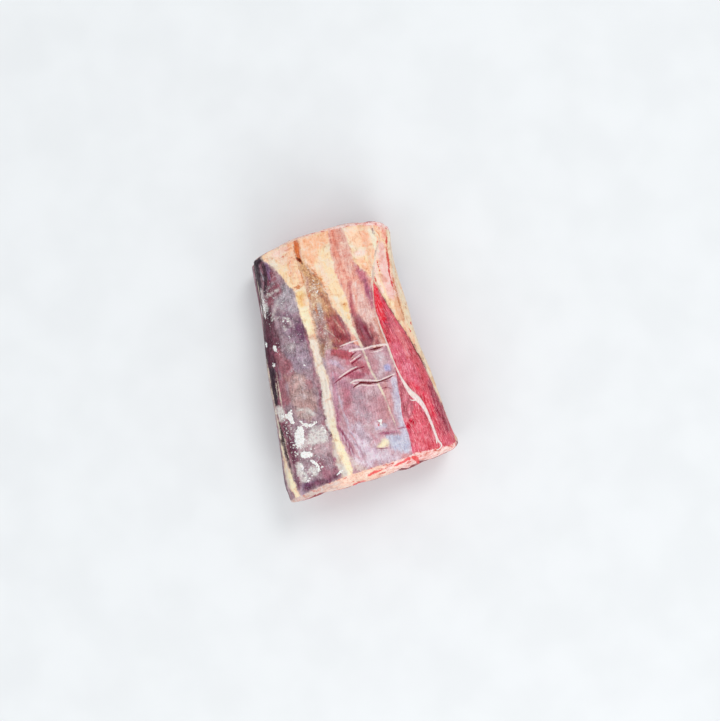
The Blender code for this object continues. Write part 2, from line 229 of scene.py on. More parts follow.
FAT_LINE_TWO = ((10.6, 21), (12.2, 17.4), (13.6, 11), (14.6, 5.8), (16, -1.8), (17.2, -9.6),
                (18.2, -14.6), (20, -21.2), (21.6, -27.6), (23.6, -35), (25, -42.6), (26.2, -51),
                (27.4, -58.6), (28.2, -64.4))
FAT_LINE_TWO_WIDTHS = (1.4, 1.3, 1.1, 1.0, 0.9, 0.9, 0.9, 0.9, 0.85, 0.75, 0.6, 0.5, 0.4, 0.2)


def area(*points):
    return "area", points


def strip(points, widths):
    """Band along a route; widths are half widths, one for all points or one for each."""
    return "strip", points, widths


def spot(x, y, reach_x, reach_y, turn=0.0):
    return "spot", (x, y), (reach_x, reach_y), turn


WEDGE_ONE = area((-49.6, 97.4), (-40, 103), (-30, 107), (-22, 108), (-22.2, 98), (-22.6, 88),
                 (-21.6, 81.8), (-20.6, 75.4), (-20.4, 68), (-20, 61.6), (-19.8, 55.4), (-20.2, 46),
                 (-24.5, 42), (-29, 46), (-29.6, 54), (-29.2, 62.6), (-33.8, 69), (-37.4, 77.4),
                 (-41.4, 85), (-46.2, 90.8))
WEDGE_TWO = area((-17.4, 109), (-5, 111), (8, 113), (8.4, 104), (7.2, 95), (6.6, 86.6), (7.2, 77.8),
                 (7.2, 69.2), (8.6, 59), (10.6, 51.2), (11.8, 43.4), (11.2, 36.2), (11, 30), (12, 21),
                 (10.4, 17.8), (8.2, 24.6), (4.8, 31.4), (1.4, 38.4), (-1, 43.8), (-2.5, 52),
                 (-4.6, 59), (-6.6, 65.5), (-9.2, 71.6), (-13.6, 79.4), (-16.2, 86.8), (-17.2, 94.4),
                 (-17.4, 102.8))
PEACH_PATCH = area((21, 114), (44, 112), (47, 104), (44, 98), (46.2, 95), (48.4, 90.8), (45.6, 84),
                   (42.6, 78.6), (40.6, 72.8), (38.2, 67.2), (35.4, 60), (31.2, 66.2), (27.2, 70.8),
                   (24.2, 76.4), (23.2, 82.8), (22.8, 89.2), (22, 96.8), (20.6, 104))
ROSY_STRIP = area((50, 112), (60, 104), (57.5, 90), (54, 77), (53, 60), (53.3, 44), (55, 28), (57, 6),
                  *SHADOW_LINE[5:0:-1], (36.4, 58), (38.4, 67), (42.6, 78.6), (47, 87), (47, 98))
BARE_MUSCLE = area((36, 58.5), *MEMBRANE_EDGE[1:-1], (37.8, -96), (55, -98), (74, -96),
                   *SHADOW_LINE[:0:-1])
OUTER_CREAM = strip(((61, 108), (60, 92), (57.8, 76), (57.3, 60), (57, 44), (58, 27), (60, 10),
                     (62.3, -6), (65, -23), (67.5, -40), (71, -57), (74, -72), (76.5, -88)),
                    (3.4, 3.4, 3.6, 3.6, 3.4, 3.2, 2.6, 2.0, 1.5, 1.2, 1.1, 1.1, 1.2))
# Strands of tendon on the bare muscle, (across, along, full width).
TENDON = ((32.6, 27, 0.8), (33.6, 16.4, 1.0), (35.4, 7.4, 1.1), (36.6, 0, 1.4), (37.6, -8, 1.5),
          (38.8, -16, 1.5), (41.2, -26.6, 1.9), (42.4, -30.2, 2.4), (43.6, -34, 3.3), (46, -40, 4.4),
          (49.2, -44.4, 5.2), (51.8, -48.6, 4.7), (54.2, -54, 3.5), (55.8, -60, 2.9), (57, -66.4, 2.5),
          (58, -72.8, 2.4), (58.8, -79.2, 2.4), (59.8, -84, 2.0), (61.2, -86.4, 1.6),
          (61.6, -88.6, 1.4), (59.4, -90.6, 1.2), (56.6, -91.2, 0.9))
TENDON_FORK = ((48.6, -46.4, 2.4), (47, -46.8, 1.5), (45.6, -46.4, 1.0), (44.2, -45.4, 0.6))
TENDON_PRONG = ((59, -79.6, 2.0), (58.6, -83, 1.5), (58, -86, 0.9))


FAT = (
    WEDGE_ONE, WEDGE_TWO, PEACH_PATCH, ROSY_STRIP, OUTER_CREAM,
    area((43, 116), (68, 108), (64, 76), (64, 44), (66, 14), *SHADOW_LINE[5:0:-1], (36.8, 57), (41, 74),
         (45, 88), (45, 100)),
    strip(FAT_LINE_ONE, FAT_LINE_ONE_WIDTHS),
    strip(((-67.6, -48.4), (-68.2, -57), (-67.8, -67), (-68, -74.2), (-68.2, -81.6), (-67.8, -90.4),
           (-67, -97.6)), (0.5, 0.6, 0.8, 1.1, 1.7, 2.2, 1.7)),
    strip(((-67, -80.6), (-66.4, -88.2), (-65.4, -97.2), (-64.2, -105.4)), (1.2, 1.7, 1.8, 1.9)),
    area((10, -78), (13, -75.4), (16.2, -72.8), (19.6, -75.2), (19.8, -77.8), (16.8, -79.2),
         (13, -79.2)),
    area((54.5, 10), (58.6, -4), (63.1, -19), (67.1, -35), (70.1, -50), (72.1, -63), (73.6, -77),
         (74.2, -91), (92, -91), (86, -60), (82, -20), (76, 10), (62, 14)),
    strip(((-25, -64), (-24.8, -76), (-23.6, -86), (-21.6, -95)), (0.6, 2.0, 2.6, 2.2)),
    strip(((50, 112), (51.5, 104), (48.5, 95), (48.4, 90), (45.5, 83.5), (41, 74), (37.6, 64)), 1.3),
    strip(((59, 104), (57.8, 90), (55, 77), (54, 60), (54.3, 44), (56, 28), (57.5, 8)), 1.5),
)
THREADS = (
    strip(FAT_LINE_TWO, FAT_LINE_TWO_WIDTHS),
    strip(((-64, 30), (-64.6, 17), (-65.2, 4), (-65.4, -3.4), (-66, -13), (-66.2, -25.4),
           (-66.6, -35.2), (-66.8, -45), (-67.4, -53.4)),
          (0.3, 0.4, 0.5, 0.5, 0.5, 0.5, 0.5, 0.5, 0.7)),
    strip(((-58.8, 0.2), (-59.4, -7.2), (-59.8, -14.4), (-60.2, -21.8), (-60.4, -27.8), (-59.2, -32.4)),
          (0.2, 0.5, 0.5, 0.6, 0.5, 0.2)),
    strip(((-61.2, -4.2), (-61.6, -11.6), (-62.4, -21.2)), (0.2, 0.4, 0.2)),
    strip(((-64.4, -51.6), (-64, -58), (-64.4, -65.2), (-64, -71.6)), (0.1, 0.4, 0.4, 0.2)),
    strip(((-68.2, -54.6), (-67.8, -62), (-67.6, -68.2)), (0.2, 0.5, 0.4)),
    strip(MEMBRANE_EDGE[:10], (0.4, 0.5, 0.4, 0.4, 0.5, 0.5, 0.6, 0.8, 0.7, 0.7)),
    strip(((38.2, 63), (35.6, 58), (33.4, 54), (31.4, 49), (30.8, 41.6)), (0.5, 0.6, 0.4, 0.4, 0.2)),
    strip(((45, 104.6), (46, 97), (48.4, 90.8), (45.6, 84), (42.6, 78), (40.6, 72.8), (37.7, 65),
           (35.8, 59.3)), (0.4, 0.5, 0.3, 0.5, 0.5, 0.6, 0.7, 0.7)),
    strip(((52, 107), (55.8, 100), (57.2, 93), (56, 86), (55.4, 78), (54.8, 68), (53.6, 55)),
          (0.5, 0.7, 0.8, 0.6, 0.4, 0.3, 0.1)),
    strip(((38.2, 61.6), (37.2, 58.8), (38.8, 53.2), (41, 49.4)), (0.4, 0.6, 0.5, 0.2)),
    strip(((-16.5, 33), (-6, 20.5), (-2, 14)), (0.1, 0.25, 0.1)),
    strip(((4.5, 41), (7, 31), (8.5, 22)), (0.1, 0.35, 0.1)),
    strip(((4, -2), (5.5, -1), (7.5, 1.8)), (0.2, 0.6, 0.3)),
)
RUST = (
    spot(-26.6, 65.6, 3, 1.4), spot(8.8, 43.5, 1.8, 1.3), spot(-6, 68, 1.4, 1.0),
    spot(-10.5, 72, 1.6, 1.0, -30), spot(34.5, 63.5, 0.7, 1.5), spot(-15.3, 42.5, 0.7, 3.0),
    spot(-18.5, 57, 0.8, 2.4),
    strip(((-21.8, 82), (-21, 74), (-20.6, 66)), (0.2, 0.6, 0.2)),
    strip(((-14.6, 83), (-12, 78.4), (-8.6, 72), (-6.2, 66.4), (-4, 59)), (0.1, 0.5, 0.6, 0.5, 0.1)),
    strip(((58.5, 99), (58.6, 91), (57.5, 82)), (0.3, 0.9, 0.3)),
    strip(((52.2, 60), (52.4, 48), (53, 34), (54, 20)), (0.3, 0.6, 0.7, 0.3)),
    spot(57.5, 30, 0.5, 1.2),
)
STAIN = (
    spot(-20, 87.4, 1.5, 2.1, 20), spot(-21.4, 89.4, 1.1, 0.8), spot(-18.4, 84.4, 0.8, 1.2),
)
BLOOD = (
    spot(57, 10, 0.8, 1.8, 20), spot(58.5, 16, 0.6, 1.2),
    strip(((36.4, -92.8), (38.8, -94.8), (39.8, -98.4)), (1.5, 2.1, 1.1)),
    strip(((-2.8, -99.4), (2.4, -98), (8.8, -97.4)), (0.7, 1.3, 0.5)),
    strip(((-16.2, -104.4), (-10.6, -103.8), (-6.6, -102.8)), (0.7, 0.9, 0.4)),
    strip(((20, -96.6), (25.8, -95.2), (33, -93.4)), (0.4, 1.1, 1.5)),
    strip(((55.2, 93), (53.6, 86), (52.2, 78.8), (51.6, 70.4), (50.6, 63.2), (50.4, 55.8), (50.4, 49.6),
           (50.8, 44.6)), (0.3, 0.6, 0.7, 0.7, 0.7, 0.5, 0.4, 0.1)),
    strip(((42.6, 73), (42.8, 68), (42.7, 63.5)), (0.3, 0.8, 0.3)),
    strip(((37.7, 60), (38.3, 55.6)), (0.7, 0.4)), spot(46.5, 88, 0.9, 1.4),
    strip(((25, 77.6), (25.6, 73.2), (26, 70)), (0.3, 0.8, 0.4)),
    strip(((-58, 97), (-45, 100), (-30, 105.5), (-10, 108.5), (10, 110.5), (30, 111.5), (50, 108),
           (59, 102)), (0.2, 0.4, 0.6, 0.5, 0.6, 0.5, 0.4, 0.2)),
    strip(((-29, 90.6), (-26.2, 90.8), (-23.6, 89.4), (-21, 87.8)), (0.3, 0.5, 0.3, 0.3)),
    strip(((-26.4, 90.6), (-28, 87), (-28.8, 82.2), (-29.2, 77.4)), (0.3, 0.3, 0.2, 0.1)),
    strip(((-35, 92), (-31, 94), (-27, 95.4)), (0.1, 0.3, 0.2)),
    spot(14.5, -60.5, 0.7, 1.2),
)

# Slits, creases and ridges: relief, with painted shade in slits and creases, a painted highlight on
# ridges.
SLITS = (
    strip(((20.4, 1.8), (26, 1.7), (31.6, 2.2)), (0.2, 0.9, 0.3)),
    strip(((0.6, -25.6), (5.2, -23.6), (9, -23.2), (15, -25), (21.6, -25.8)),
          (0.2, 0.5, 0.9, 0.9, 0.7)),
    strip(((21.6, -25.8), (26.8, -25.4), (30.6, -24.6), (34.8, -23)), (0.6, 0.7, 0.5, 0.1)),
    strip(((26.6, -26.4), (30, -26.6)), (0.4, 0.1)),
)
CREASES = (
    strip(((4, -0.2), (6.8, 1.4), (9.6, 2.6)), (0.3, 0.7, 0.3)),
    strip(((3.6, -6.2), (8, -4), (13.2, -1.6)), (0.4, 0.7, 0.3)),
    strip(((-14, -18.6), (-6.8, -15.4), (-0.2, -13.2), (5.8, -11.2), (13, -10.6)),
          (0.2, 0.6, 0.7, 0.9, 0.3)),
    strip(((24, -31.6), (28, -31.4), (31.2, -33.2)), (0.1, 0.2, 0.1)),
    strip(((8.4, -78.8), (12.6, -80.2), (17.4, -80.6)), (0.1, 0.3, 0.1)),
)
RIDGES = (
    strip(((-2.4, 10.2), (4, 11.2), (9, 11.8), (12.6, 11.8)), (0.3, 0.7, 0.6, 0.3)),
    strip(((4.4, 4.8), (10, 4.8), (16, 3.8), (21, 4.3), (27.2, 4.2), (33.2, 3.8), (35.6, 2.8)),
          (0.9, 1.0, 0.8, 0.7, 0.7, 0.8, 0.7)),
    strip(((3, -4.2), (7.4, -2.2), (12.4, 0)), (0.3, 0.5, 0.3)),
    strip(((-9, -14.9), (-3.5, -12.6), (1, -10.8), (7.5, -9.4)), (0.4, 0.7, 0.6, 0.3)),
    strip(((-0.6, -21.2), (4.4, -20.2), (13.8, -22.2), (22, -24.4), (28.4, -23.4), (36.4, -22)),
          (0.4, 0.7, 0.6, 0.5, 0.5, 0.4)),
    strip(((3, -25.6), (7.8, -25), (13, -26.8), (21.4, -27.6)), (0.3, 0.4, 0.4, 0.3)),
    strip(((-0.2, -21.4), (2.6, -22.6), (5.2, -23)), (0.4, 0.4, 0.3)),
    strip(((21, -0.2), (26.4, -0.4), (31.6, 0.2)), (0.2, 0.5, 0.2)),
)
FROST = (
    area((-51.8, -47.6), (-48.2, -47.6), (-47.2, -53), (-49.4, -61.2), (-52, -62.4), (-55.2, -64.4),
         (-56.4, -62), (-55.8, -54.8), (-53.8, -51)),
    strip(((-48.6, -43.8), (-44.8, -46.8), (-40.4, -48.6), (-35.6, -47.2)), (0.6, 1.3, 1.3, 0.6)),
    area((-53.6, -32), (-53.8, -36.8), (-53.6, -43.6), (-55.4, -44), (-57.2, -41), (-59.8, -37.2),
         (-60, -35), (-56.8, -34.2)),
    area((-54, -68.8), (-51.6, -68.4), (-50.6, -66.4), (-49.8, -68.6), (-44.6, -70.2), (-44.6, -73.4),
         (-48.4, -74), (-53.6, -72.6)),
    strip(((-47, -77.4), (-43.2, -80.6), (-41.6, -86), (-43.8, -88.6)), (0.5, 1.1, 0.7, 0.4)),
    strip(((-56.4, -77.6), (-55.4, -80), (-54.8, -83)), (0.5, 1.2, 0.6)),
    spot(-53, -93.2, 1.2, 0.8),
    strip(((-28.5, -93.2), (-26, -92.2), (-24.2, -90.6)), (0.3, 1.1, 0.5)),
    spot(-55.4, 20, 1.6, 2.9, 20), spot(-62.2, 24.8, 0.5, 1.7), spot(-59.6, 6.2, 0.7, 1.9),
    spot(-34.6, 1.2, 0.6, 1), spot(-61, -36, 1.2, 1.6), spot(-57.4, 54.6, 0.9, 2.6),
    spot(-56.4, 60.4, 0.5, 1.4), strip(((-57.6, 50.6), (-57.8, 46.4)), (0.5, 0.3)),
    strip(((14.8, -57), (16.6, -57.2), (16.2, -60), (18, -62.4)), (0.5, 0.8, 1.0, 0.4)),
    spot(-40.6, 40, 0.8, 0.5), spot(-30, -55.4, 0.7, 1.4), spot(-7.5, -66.6, 0.35, 1.2),
    spot(-31.5, -52, 1.0, 0.6),
)
POWDER = (
    strip(((-54.6, 63.4), (-49.4, 65), (-45.4, 66.4), (-42.6, 67)), (0.3, 0.3, 0.2, 0.1)),
    strip(((-53.2, 45.6), (-49, 50.8), (-44.6, 58.6)), (0.1, 0.2, 0.1)),
    strip(((-52.4, 43.6), (-44.4, 43.6), (-40, 41.4), (-38, 36.2)), (0.2, 0.5, 0.4, 0.2)),
    strip(((-44.8, 36.4), (-42.8, 34), (-39.4, 35.2)), (0.2, 0.4, 0.1)),
    area((-42.2, -51.6), (-36.8, -49.8), (-30.2, -53.2), (-27.2, -58.8), (-30.2, -64.2), (-37.6, -63.8),
         (-42.8, -65.2), (-45.8, -62), (-44.6, -56)),
    area((-65.4, -28.2), (-61, -27.8), (-59.2, -30.6), (-59, -34.4), (-61.2, -37.6), (-64, -38.8),
         (-65.4, -35.4)),
    strip(((-57, -78), (-57, -84), (-55, -91)), (2.0, 3.2, 2.4)),
    spot(-46, -86, 3.4, 4.6, 20), spot(-50, -60, 3.5, 4.5),
    strip(((-25, -20), (-26.2, -35.6), (-26.8, -50.2), (-26.2, -56.6)), (0.3, 0.7, 0.7, 0.4)),
    strip(((-57, 64.4), (-57, 58.8), (-57.2, 54), (-57.4, 51), (-57.6, 47.2)),
          (0.6, 1.4, 2.4, 1.2, 0.4)),
    strip(((-48, -33), (-40, -36), (-36, -40)), (0.6, 1.6, 0.6)),
    strip(((-57.8, 73.2), (-57.2, 68.8), (-56.8, 65)), (0.4, 0.8, 0.6)),
)

# Soft fields on the top: (x, y, reach across, reach along, turn, strength).
FLECKS = (
    (-50, -58, 12, 14, 0, 0.9), (-52, -88, 9, 10, 0, 1.0), (-61, -42, 4, 14, 0, 0.8),
    (-40, -82, 6, 9, 0, 0.7), (-57, 55, 3, 9, 0, 0.9), (-30, -60, 5, 12, 0, 0.5),
    (-47, 42, 8, 5, 0, 0.5), (-53, 20, 6, 5, 0, 0.4), (-50, 70, 5, 10, 0, 0.35),
    (-58, -68, 5, 10, 0, 0.6), (-36, 28, 6, 8, 0, 0.4), (-12, 56, 6, 10, 0, 0.5),
    (-11, 66, 5, 7, 0, 0.7), (-27, -92, 5, 3, 0, 0.5), (-44, 55, 12, 26, 0, 0.3),
    (-44, 0, 14, 34, 0, 0.25),
)
FILM = (
    (-38, 56, 9, 12, 0, 0.8), (-40, 10, 10, 22, 0, 0.5), (-42, 78, 8, 10, 0, 0.5),
    (-42, -26, 12, 18, 0, 0.45), (-33, -70, 10, 18, 0, 0.45), (-14, 54, 6, 14, 0, 0.3),
    (-13, 22, 6, 12, 0, 0.35), (18, 60, 8, 26, 0, 0.2), (-10, -3, 7, 6, 0, 0.6),
    (0, -45, 14, 16, 0, 0.5), (10, -80, 22, 16, 0, 0.7), (34, -55, 5, 28, 0, 0.6),
    (28, -10, 8, 10, 0, 0.4), (28, 26, 6, 18, 0, 0.3), (-52, -80, 6, 14, 0, 0.4),
)
CRACKLE = (
    (-13, 67, 5, 8, 0, 1.0), (-16, 54, 4, 10, 0, 0.6), (-15, 78, 3.5, 5, 0, 0.7),
    (-12, 42, 6, 8, 0, 0.4), (-15, 14, 4, 12, 0, 0.55), (-13, 32, 5, 10, 0, 0.6),
)
CAPILLARIES = (
    (-28, 98, 12, 8, 0, 0.8), (14, 100, 7, 12, 0, 1.0), (0, 108, 40, 3, 0, 0.8),
    (48, 84, 5, 18, 0, 0.35), (20, 66, 8, 20, 0, 0.5), (46, 60, 5, 12, 0, 0.2), (50, 100, 7, 8, 0, 0.8),
    (-24, 74, 5, 9, 0, 0.35),
)

# Soft strokes of colour: (colour, strength, softness in mm, shape).
MEAT_STROKES = (
    # left band, hazy mid tone then its patches
    (HAZE_MID, 1, 3, strip(((-41, 91.5), (-42.5, 57.5), (-43.5, 30), (-43.5, 1), (-44.5, -31.5),
        (-43.5, -64), (-45, -99.5)), (17.5, 18.3, 19.1, 18.3, 18.3, 19.1, 19.1))),
    (MAROON, 0.95, 1.5, strip(((-49, 98), (-48.5, 84), (-49, 72), (-52, 60)), (4.5, 5.5, 5, 4))),
    (VIOLET, 0.8, 1, strip(((-48, 93), (-47, 84), (-47.5, 77)), (1.4, 1.9, 1.2))),
    (PLUM_DEEP, 0.85, 1.4, strip(((-54.8, 52.2), (-56, 41.4), (-55.8, 31.4), (-54, 22.4), (-57, 10)),
        (3.0, 4.4, 5.4, 5.0, 4.0))),
    (MAROON_DARK, 0.95, 1.4, strip(((-57.5, 50), (-58.6, 40), (-59.4, 30), (-60.4, 20)),
        (1.9, 3.2, 3.4, 2.2))),
    (MAROON_RED, 0.9, 1, strip(((-45, 82), (-43.6, 76), (-41.8, 68)), (1.6, 2.9, 2.2))),
    (MAROON_RED, 0.7, 0.8, spot(-50.5, 59, 2.5, 4.1)),
    (HAZE_BLUE, 0.95, 2, area((-41.8, 69), (-33.8, 68.4), (-30, 61.4), (-30, 52.8), (-31, 45.6),
        (-38.8, 46.2), (-45.8, 53.8), (-46, 61.4))),
    (MAROON_RED, 0.65, 1, spot(-42, 66, 1.8, 4.1)),
    (PINK_GREY, 0.8, 1.2, strip(((-44, 88.5), (-41, 82.5), (-37.5, 76)), (0.8, 1.4, 0.8))),
    (GREY_VIOLET, 0.9, 2, strip(((-46, 46), (-40, 43), (-34, 44)), (2.2, 3.2, 2.2))),
    (LILAC_GREY, 0.9, 2.4, area((-46.4, 34.2), (-37.8, 34.8), (-31, 21), (-28.8, 8.2), (-28.6, -1.8),
        (-40.8, -1.4), (-47.6, 7.4), (-49, 17.6), (-49.4, 26.4))),
    (BROWN_PLUM, 0.85, 0.8, spot(-41.6, 36.8, 2.0, 1.6)),
    (PURPLE_DARK, 0.95, 1.4, strip(((-32.6, 38.6), (-32.4, 31.2), (-32.4, 22.6)), (3.1, 4.1, 2.4))),
    (GREY_VIOLET, 0.6, 1.2, strip(((-33, 37.5), (-31, 33)), (1.2, 1.0))),
    (HAZE_WARM, 0.7, 2, strip(((-47.5, 28), (-43, 17)), (2.9, 4.8))),
    (HAZE_LIGHT, 0.5, 1.5, spot(-41.5, 18.5, 3.5, 2.9)),
    (ROSE_BROWN, 0.95, 1.6, strip(((-53.5, 14.5), (-50.5, 4), (-50.5, -5.5)), (3.2, 5.7, 4.8))),
    (BEIGE_ROSE, 0.85, 3, area((-48.4, -7.2), (-37.2, -7.2), (-32, -28), (-37.8, -42.8), (-46, -41),
        (-50.6, -33.8), (-52, -23.6))),
    (ROSE_BROWN, 0.9, 1.6, strip(((-56.2, -9), (-56.8, -17.6), (-54.8, -25.4)), (2.4, 3.6, 2.4))),
    (ROSE_DUSTY, 0.7, 1.2, strip(((-52, -4), (-50, -12), (-51.5, -22)), (1.2, 1.8, 1.2))),
    (ROSE_BROWN, 0.75, 1.2, spot(-35, -15.5, 3.2, 4.1)),
    (BROWN_ROSE, 0.7, 1.8, strip(((-47.5, -30.5), (-37.5, -29.5), (-34, -35.5)), (1.9, 3.8, 1.9))),
    (GREY_BEIGE, 0.8, 2, spot(-43.5, -39, 5.4, 2.9)),
    (ROSE_BROWN, 0.7, 1, spot(-28.5, -35, 2.2, 4.8, 10)),
    (MAROON_RED, 0.7, 0.8, spot(-29.5, -49.5, 2.5, 1.9)),
    (ROSE_BROWN, 0.6, 1, spot(-61, -47.5, 2.5, 3.2)),
    # dark strips along the upper left edge: dark muscle, darkened further as painted shade
    (SHADED_PLUM, 0.9, 1.5, strip(((-55, 92), (-56.5, 84), (-58, 76), (-59, 66)), (2, 3, 3, 2))),
    (SHADED_WINE, 0.85, 1.6, strip(((-55, 53), (-57, 43), (-59.5, 32), (-61, 24), (-62.5, 16), (-60, 8)),
        (2, 2.6, 3.2, 3.2, 3.2, 2.4))),
    (ROSE_SMOKE, 0.7, 1.6, spot(-44, 66, 3.4, 5)),
    (PURPLE_SMOKE, 0.6, 2, strip(((-39, 52), (-40.5, 43), (-40, 35), (-37, 27), (-35, 19)),
        (2.2, 2.4, 2.4, 2.8, 2))),
    (HAZE_MID, 0.6, 1.6, spot(-33.5, 41, 2.2, 3)),
    (BROWN_RED, 0.5, 1.2, strip(((-59.6, -55.2), (-59.8, -63.8), (-59, -73.8), (-59, -82.4)),
        (2, 2.2, 2.4, 2))),
    (DUSKY, 0.9, 3, strip(((-54, -60), (-40.5, -66.5), (-30, -70.5)), (6.4, 7.9, 6.4))),
    (DUSKY_PLUM, 0.85, 2, strip(((-40.5, -79.5), (-39.5, -86), (-33.5, -92.5), (-28, -89)),
        (2.2, 4.1, 4.8, 2.5))),
    (MAROON_DARK, 0.9, 1, strip(((-60.6, -46), (-60.2, -54), (-60, -66), (-60.4, -76)),
        (1.8, 2.4, 2.2, 1.4))),
    (VIOLET, 0.7, 1.2, strip(((-57.2, -96.4), (-52.2, -96.4), (-46.8, -93.8)), (1.9, 2.4, 1.2))),
    (PLUM_DARK, 0.9, 1.2, strip(((-56, -98.5), (-46, -96), (-34.5, -96.5), (-24.5, -93)),
        (2.2, 2.5, 1.6, 0.8))),
    (PURPLE_DARK, 0.8, 1, strip(((-55.5, -82.5), (-54, -92.5), (-53.5, -98.5)), (1.3, 2.2, 1.9))),
    (PLUM_DARK, 0.8, 1, strip(((-58, -56), (-58.5, -69), (-60.5, -81.5), (-62, -96)),
        (2.2, 2.5, 1.9, 2.5))),
    # left edge: dark muscle, darkened further as painted shade where the side turns from the light
    (HAZE_BLUE, 0.7, 1, strip(((-57.2, 63.8), (-49.4, 70.8), (-45.2, 73.4), (-40.8, 75)),
        (0.5, 1, 0.7, 0.6))),
    (SHADED_PLUM, 1, 0.6, area((-64, 97), (-51.8, 96.2), (-47.8, 98.8), (-47.8, 95), (-51.2, 91.8),
        (-54, 87.8), (-55, 77.6), (-57.4, 72), (-64, 70))),
    (SHADED_PLUM, 0.9, 0.5, strip(((-50, 90.6), (-50, 83.2), (-51.2, 74.8), (-53.8, 66.8)),
        (1.1, 1.4, 1.4, 1))),
    (PALE_STREAK, 0.9, 0.3, strip(((-52.6, 86.6), (-52.8, 82), (-52.6, 77.2)), (0.3, 0.7, 0.4))),
    (SHADED_PLUM, 0.9, 0.9, strip(((-61, 48), (-61.4, 38), (-62, 27.6), (-63, 15.4), (-63.6, 4.6)),
        (1.6, 2.2, 2.4, 2.0, 1.6))),
    (MAROON_DARK, 0.9, 1.2, strip(((-58.4, 47), (-58.4, 37.2), (-59.4, 27.6), (-60.8, 15.4),
        (-62, 4.6)), (2.0, 2.9, 2.9, 2.4, 2.2))),
    (SHADED_PLUM, 1, 0.7, strip(((-61.8, 3.2), (-62.8, -4), (-63.6, -12.4), (-64.2, -19.6),
        (-64.8, -25)), (2.2, 2.4, 2.2, 1.9, 1.2))),
    (DARK_BROWN, 1, 0.4, strip(((-66.6, -41), (-66, -51.2), (-66, -59.8), (-65.8, -68.6), (-65.4, -76),
        (-64.8, -84.8)), (0.7, 1.2, 1.6, 1.3, 1, 0.6))),
    (MAROON_DARK, 0.9, 0.8, strip(((-62.6, -43.4), (-62.4, -49.6), (-60.2, -55)), (1.2, 1.4, 1.4))),
    (MAROON_DARK, 1, 0.5, strip(((-73, -96), (-72.4, -103), (-71.8, -108)), (1.6, 2.2, 1.8))),
    (CRUST, 0.8, 0.5, strip(((-63, -27), (-62.5, -32.5), (-64.5, -38.5), (-60, -37.5)),
        (1.3, 1.9, 1.6, 1.9))),
    # brown band
    (BROWN_GROUND, 1, 2, strip(((-17, 102.5), (-18, 86.5), (-15, 63), (-13, 43), (-11, 23), (-9, 11)),
        (5, 6, 9.6, 12, 12.5, 11.4))),
    (ORANGE_BROWN, 1, 0.7, strip(((-19.6, 108), (-19.6, 101), (-20.2, 95), (-20, 86)),
        (2.2, 2.2, 1.9, 1.4))),
    (TAN, 0.9, 1.2, strip(((-20, 82), (-16.5, 74.5), (-14, 67.5), (-7.5, 67.5)), (1.9, 2.5, 2.2, 2.2))),
    (TAN_ROSE, 0.8, 1.5, strip(((-17, 71.5), (-19, 57), (-20, 41)), (1.3, 1.3, 1.3))),
    (CREAM_BEIGE, 0.95, 1.5, strip(((-15, 63), (-14.5, 51.5), (-17, 37)), (2.5, 4.1, 3.5))),
    (GREY_BEIGE, 0.9, 2, strip(((-14, 41), (-14, 30), (-14.5, 20), (-14, 10), (-15.5, 2)),
        (4.5, 5, 5, 4.5, 2.5))),
    (HAZE_LIGHT, 0.6, 1.2, strip(((-12.5, 47), (-12, 38), (-12.8, 29)), (1.6, 2.2, 1.6))),
    (PURPLE_BROWN, 0.9, 1.2, strip(((-9, 13), (-3, 10), (3, 9.4), (9, 10)), (1.6, 2.8, 2.4, 1.8))),
    (BROWN_RED, 0.6, 0.9, strip(((-9, 57.5), (-5, 50), (-2, 40.5), (-0.5, 33.5)),
        (1.3, 2.2, 2.2, 1.6))),
    (BROWN_SPECK, 0.7, 0.6, strip(((-14, 78), (-11.5, 75), (-9.5, 70.5)), (0.6, 0.8, 0.6))),
    (BROWN_SPECK, 0.6, 0.5, strip(((-16.5, 60), (-12, 59), (-10.5, 55.5)), (0.5, 0.6, 0.5))),
    (BROWN_RED, 0.45, 0.8, spot(-8.5, 38.5, 2.9, 2.5)),
    (MUSCLE_DULL, 0.9, 2.6, area((-9, 35.8), (-1.4, 36.6), (3.6, 31.8), (8.4, 22.2), (8.4, 13.6),
        (-1, 10.6), (-6.8, 15.6), (-9, 24.6))),
    (MUSCLE_DEEP, 0.85, 1, strip(((-4.5, 26.5), (-3.5, 20.5), (3, 16.5)), (1.3, 2.5, 2.5))),
    (TAN_ROSE, 0.7, 0.6, strip(((-3, 33), (0.5, 26), (4, 19)), (0.2, 0.7, 0.3))),
    (ROSE_DUSTY, 0.7, 0.5, strip(((1.6, 32), (5, 24.5), (7, 16)), (0.2, 0.6, 0.3))),
    (ROSE_DUSTY, 0.9, 1.2, strip(((-13, 33), (-15, 24), (-12.5, 15), (-10, 16)), (2.2, 3.5, 2.9, 1.6))),
    (ROSE_BROWN, 0.6, 1, strip(((-15.5, 32), (-15.5, 25.5)), (1, 1.6))),
    (ROSE_BROWN, 0.7, 1.6, spot(-8, 20, 3, 4.2)),
    (OCHRE, 0.9, 1, strip(((-17.5, 13), (-19.5, 5.5)), (2.2, 1.4))),
    (TAUPE, 0.9, 0.8, strip(((-10, 16), (-10.5, 11.5), (-10.5, 6.5)), (1.3, 1.3, 1))),
    # pink stripe
    (SALMON, 1, 1, area((2, 114), (30, 112), (29.5, 92), (32.5, 76), (40, 62), (38, 45.5), (38, 29.5),
        (38, 1.5), (13, 2), (5, 34), (5.5, 53.5), (3, 76.5), (2, 93.5))),
    (BEIGE_WARM, 0.9, 1.6, area((22, 46), (36, 46), (37, 20), (37, 3), (27, 3), (22, 20), (17, 32))),
    (CORAL, 0.9, 1.2, strip(((11.6, 107), (11.2, 95.4), (11, 84)), (1.5, 1.7, 1.2))),
    (CORAL, 0.6, 0.8, strip(((11.5, 84), (12, 77.5), (14, 68.5), (15.5, 60)), (0.6, 1, 0.8, 0.6))),
    (PINK_GREY_WARM, 0.85, 1.6, strip(((19.2, 104), (19.4, 91.2), (19.6, 81.2), (20, 70)),
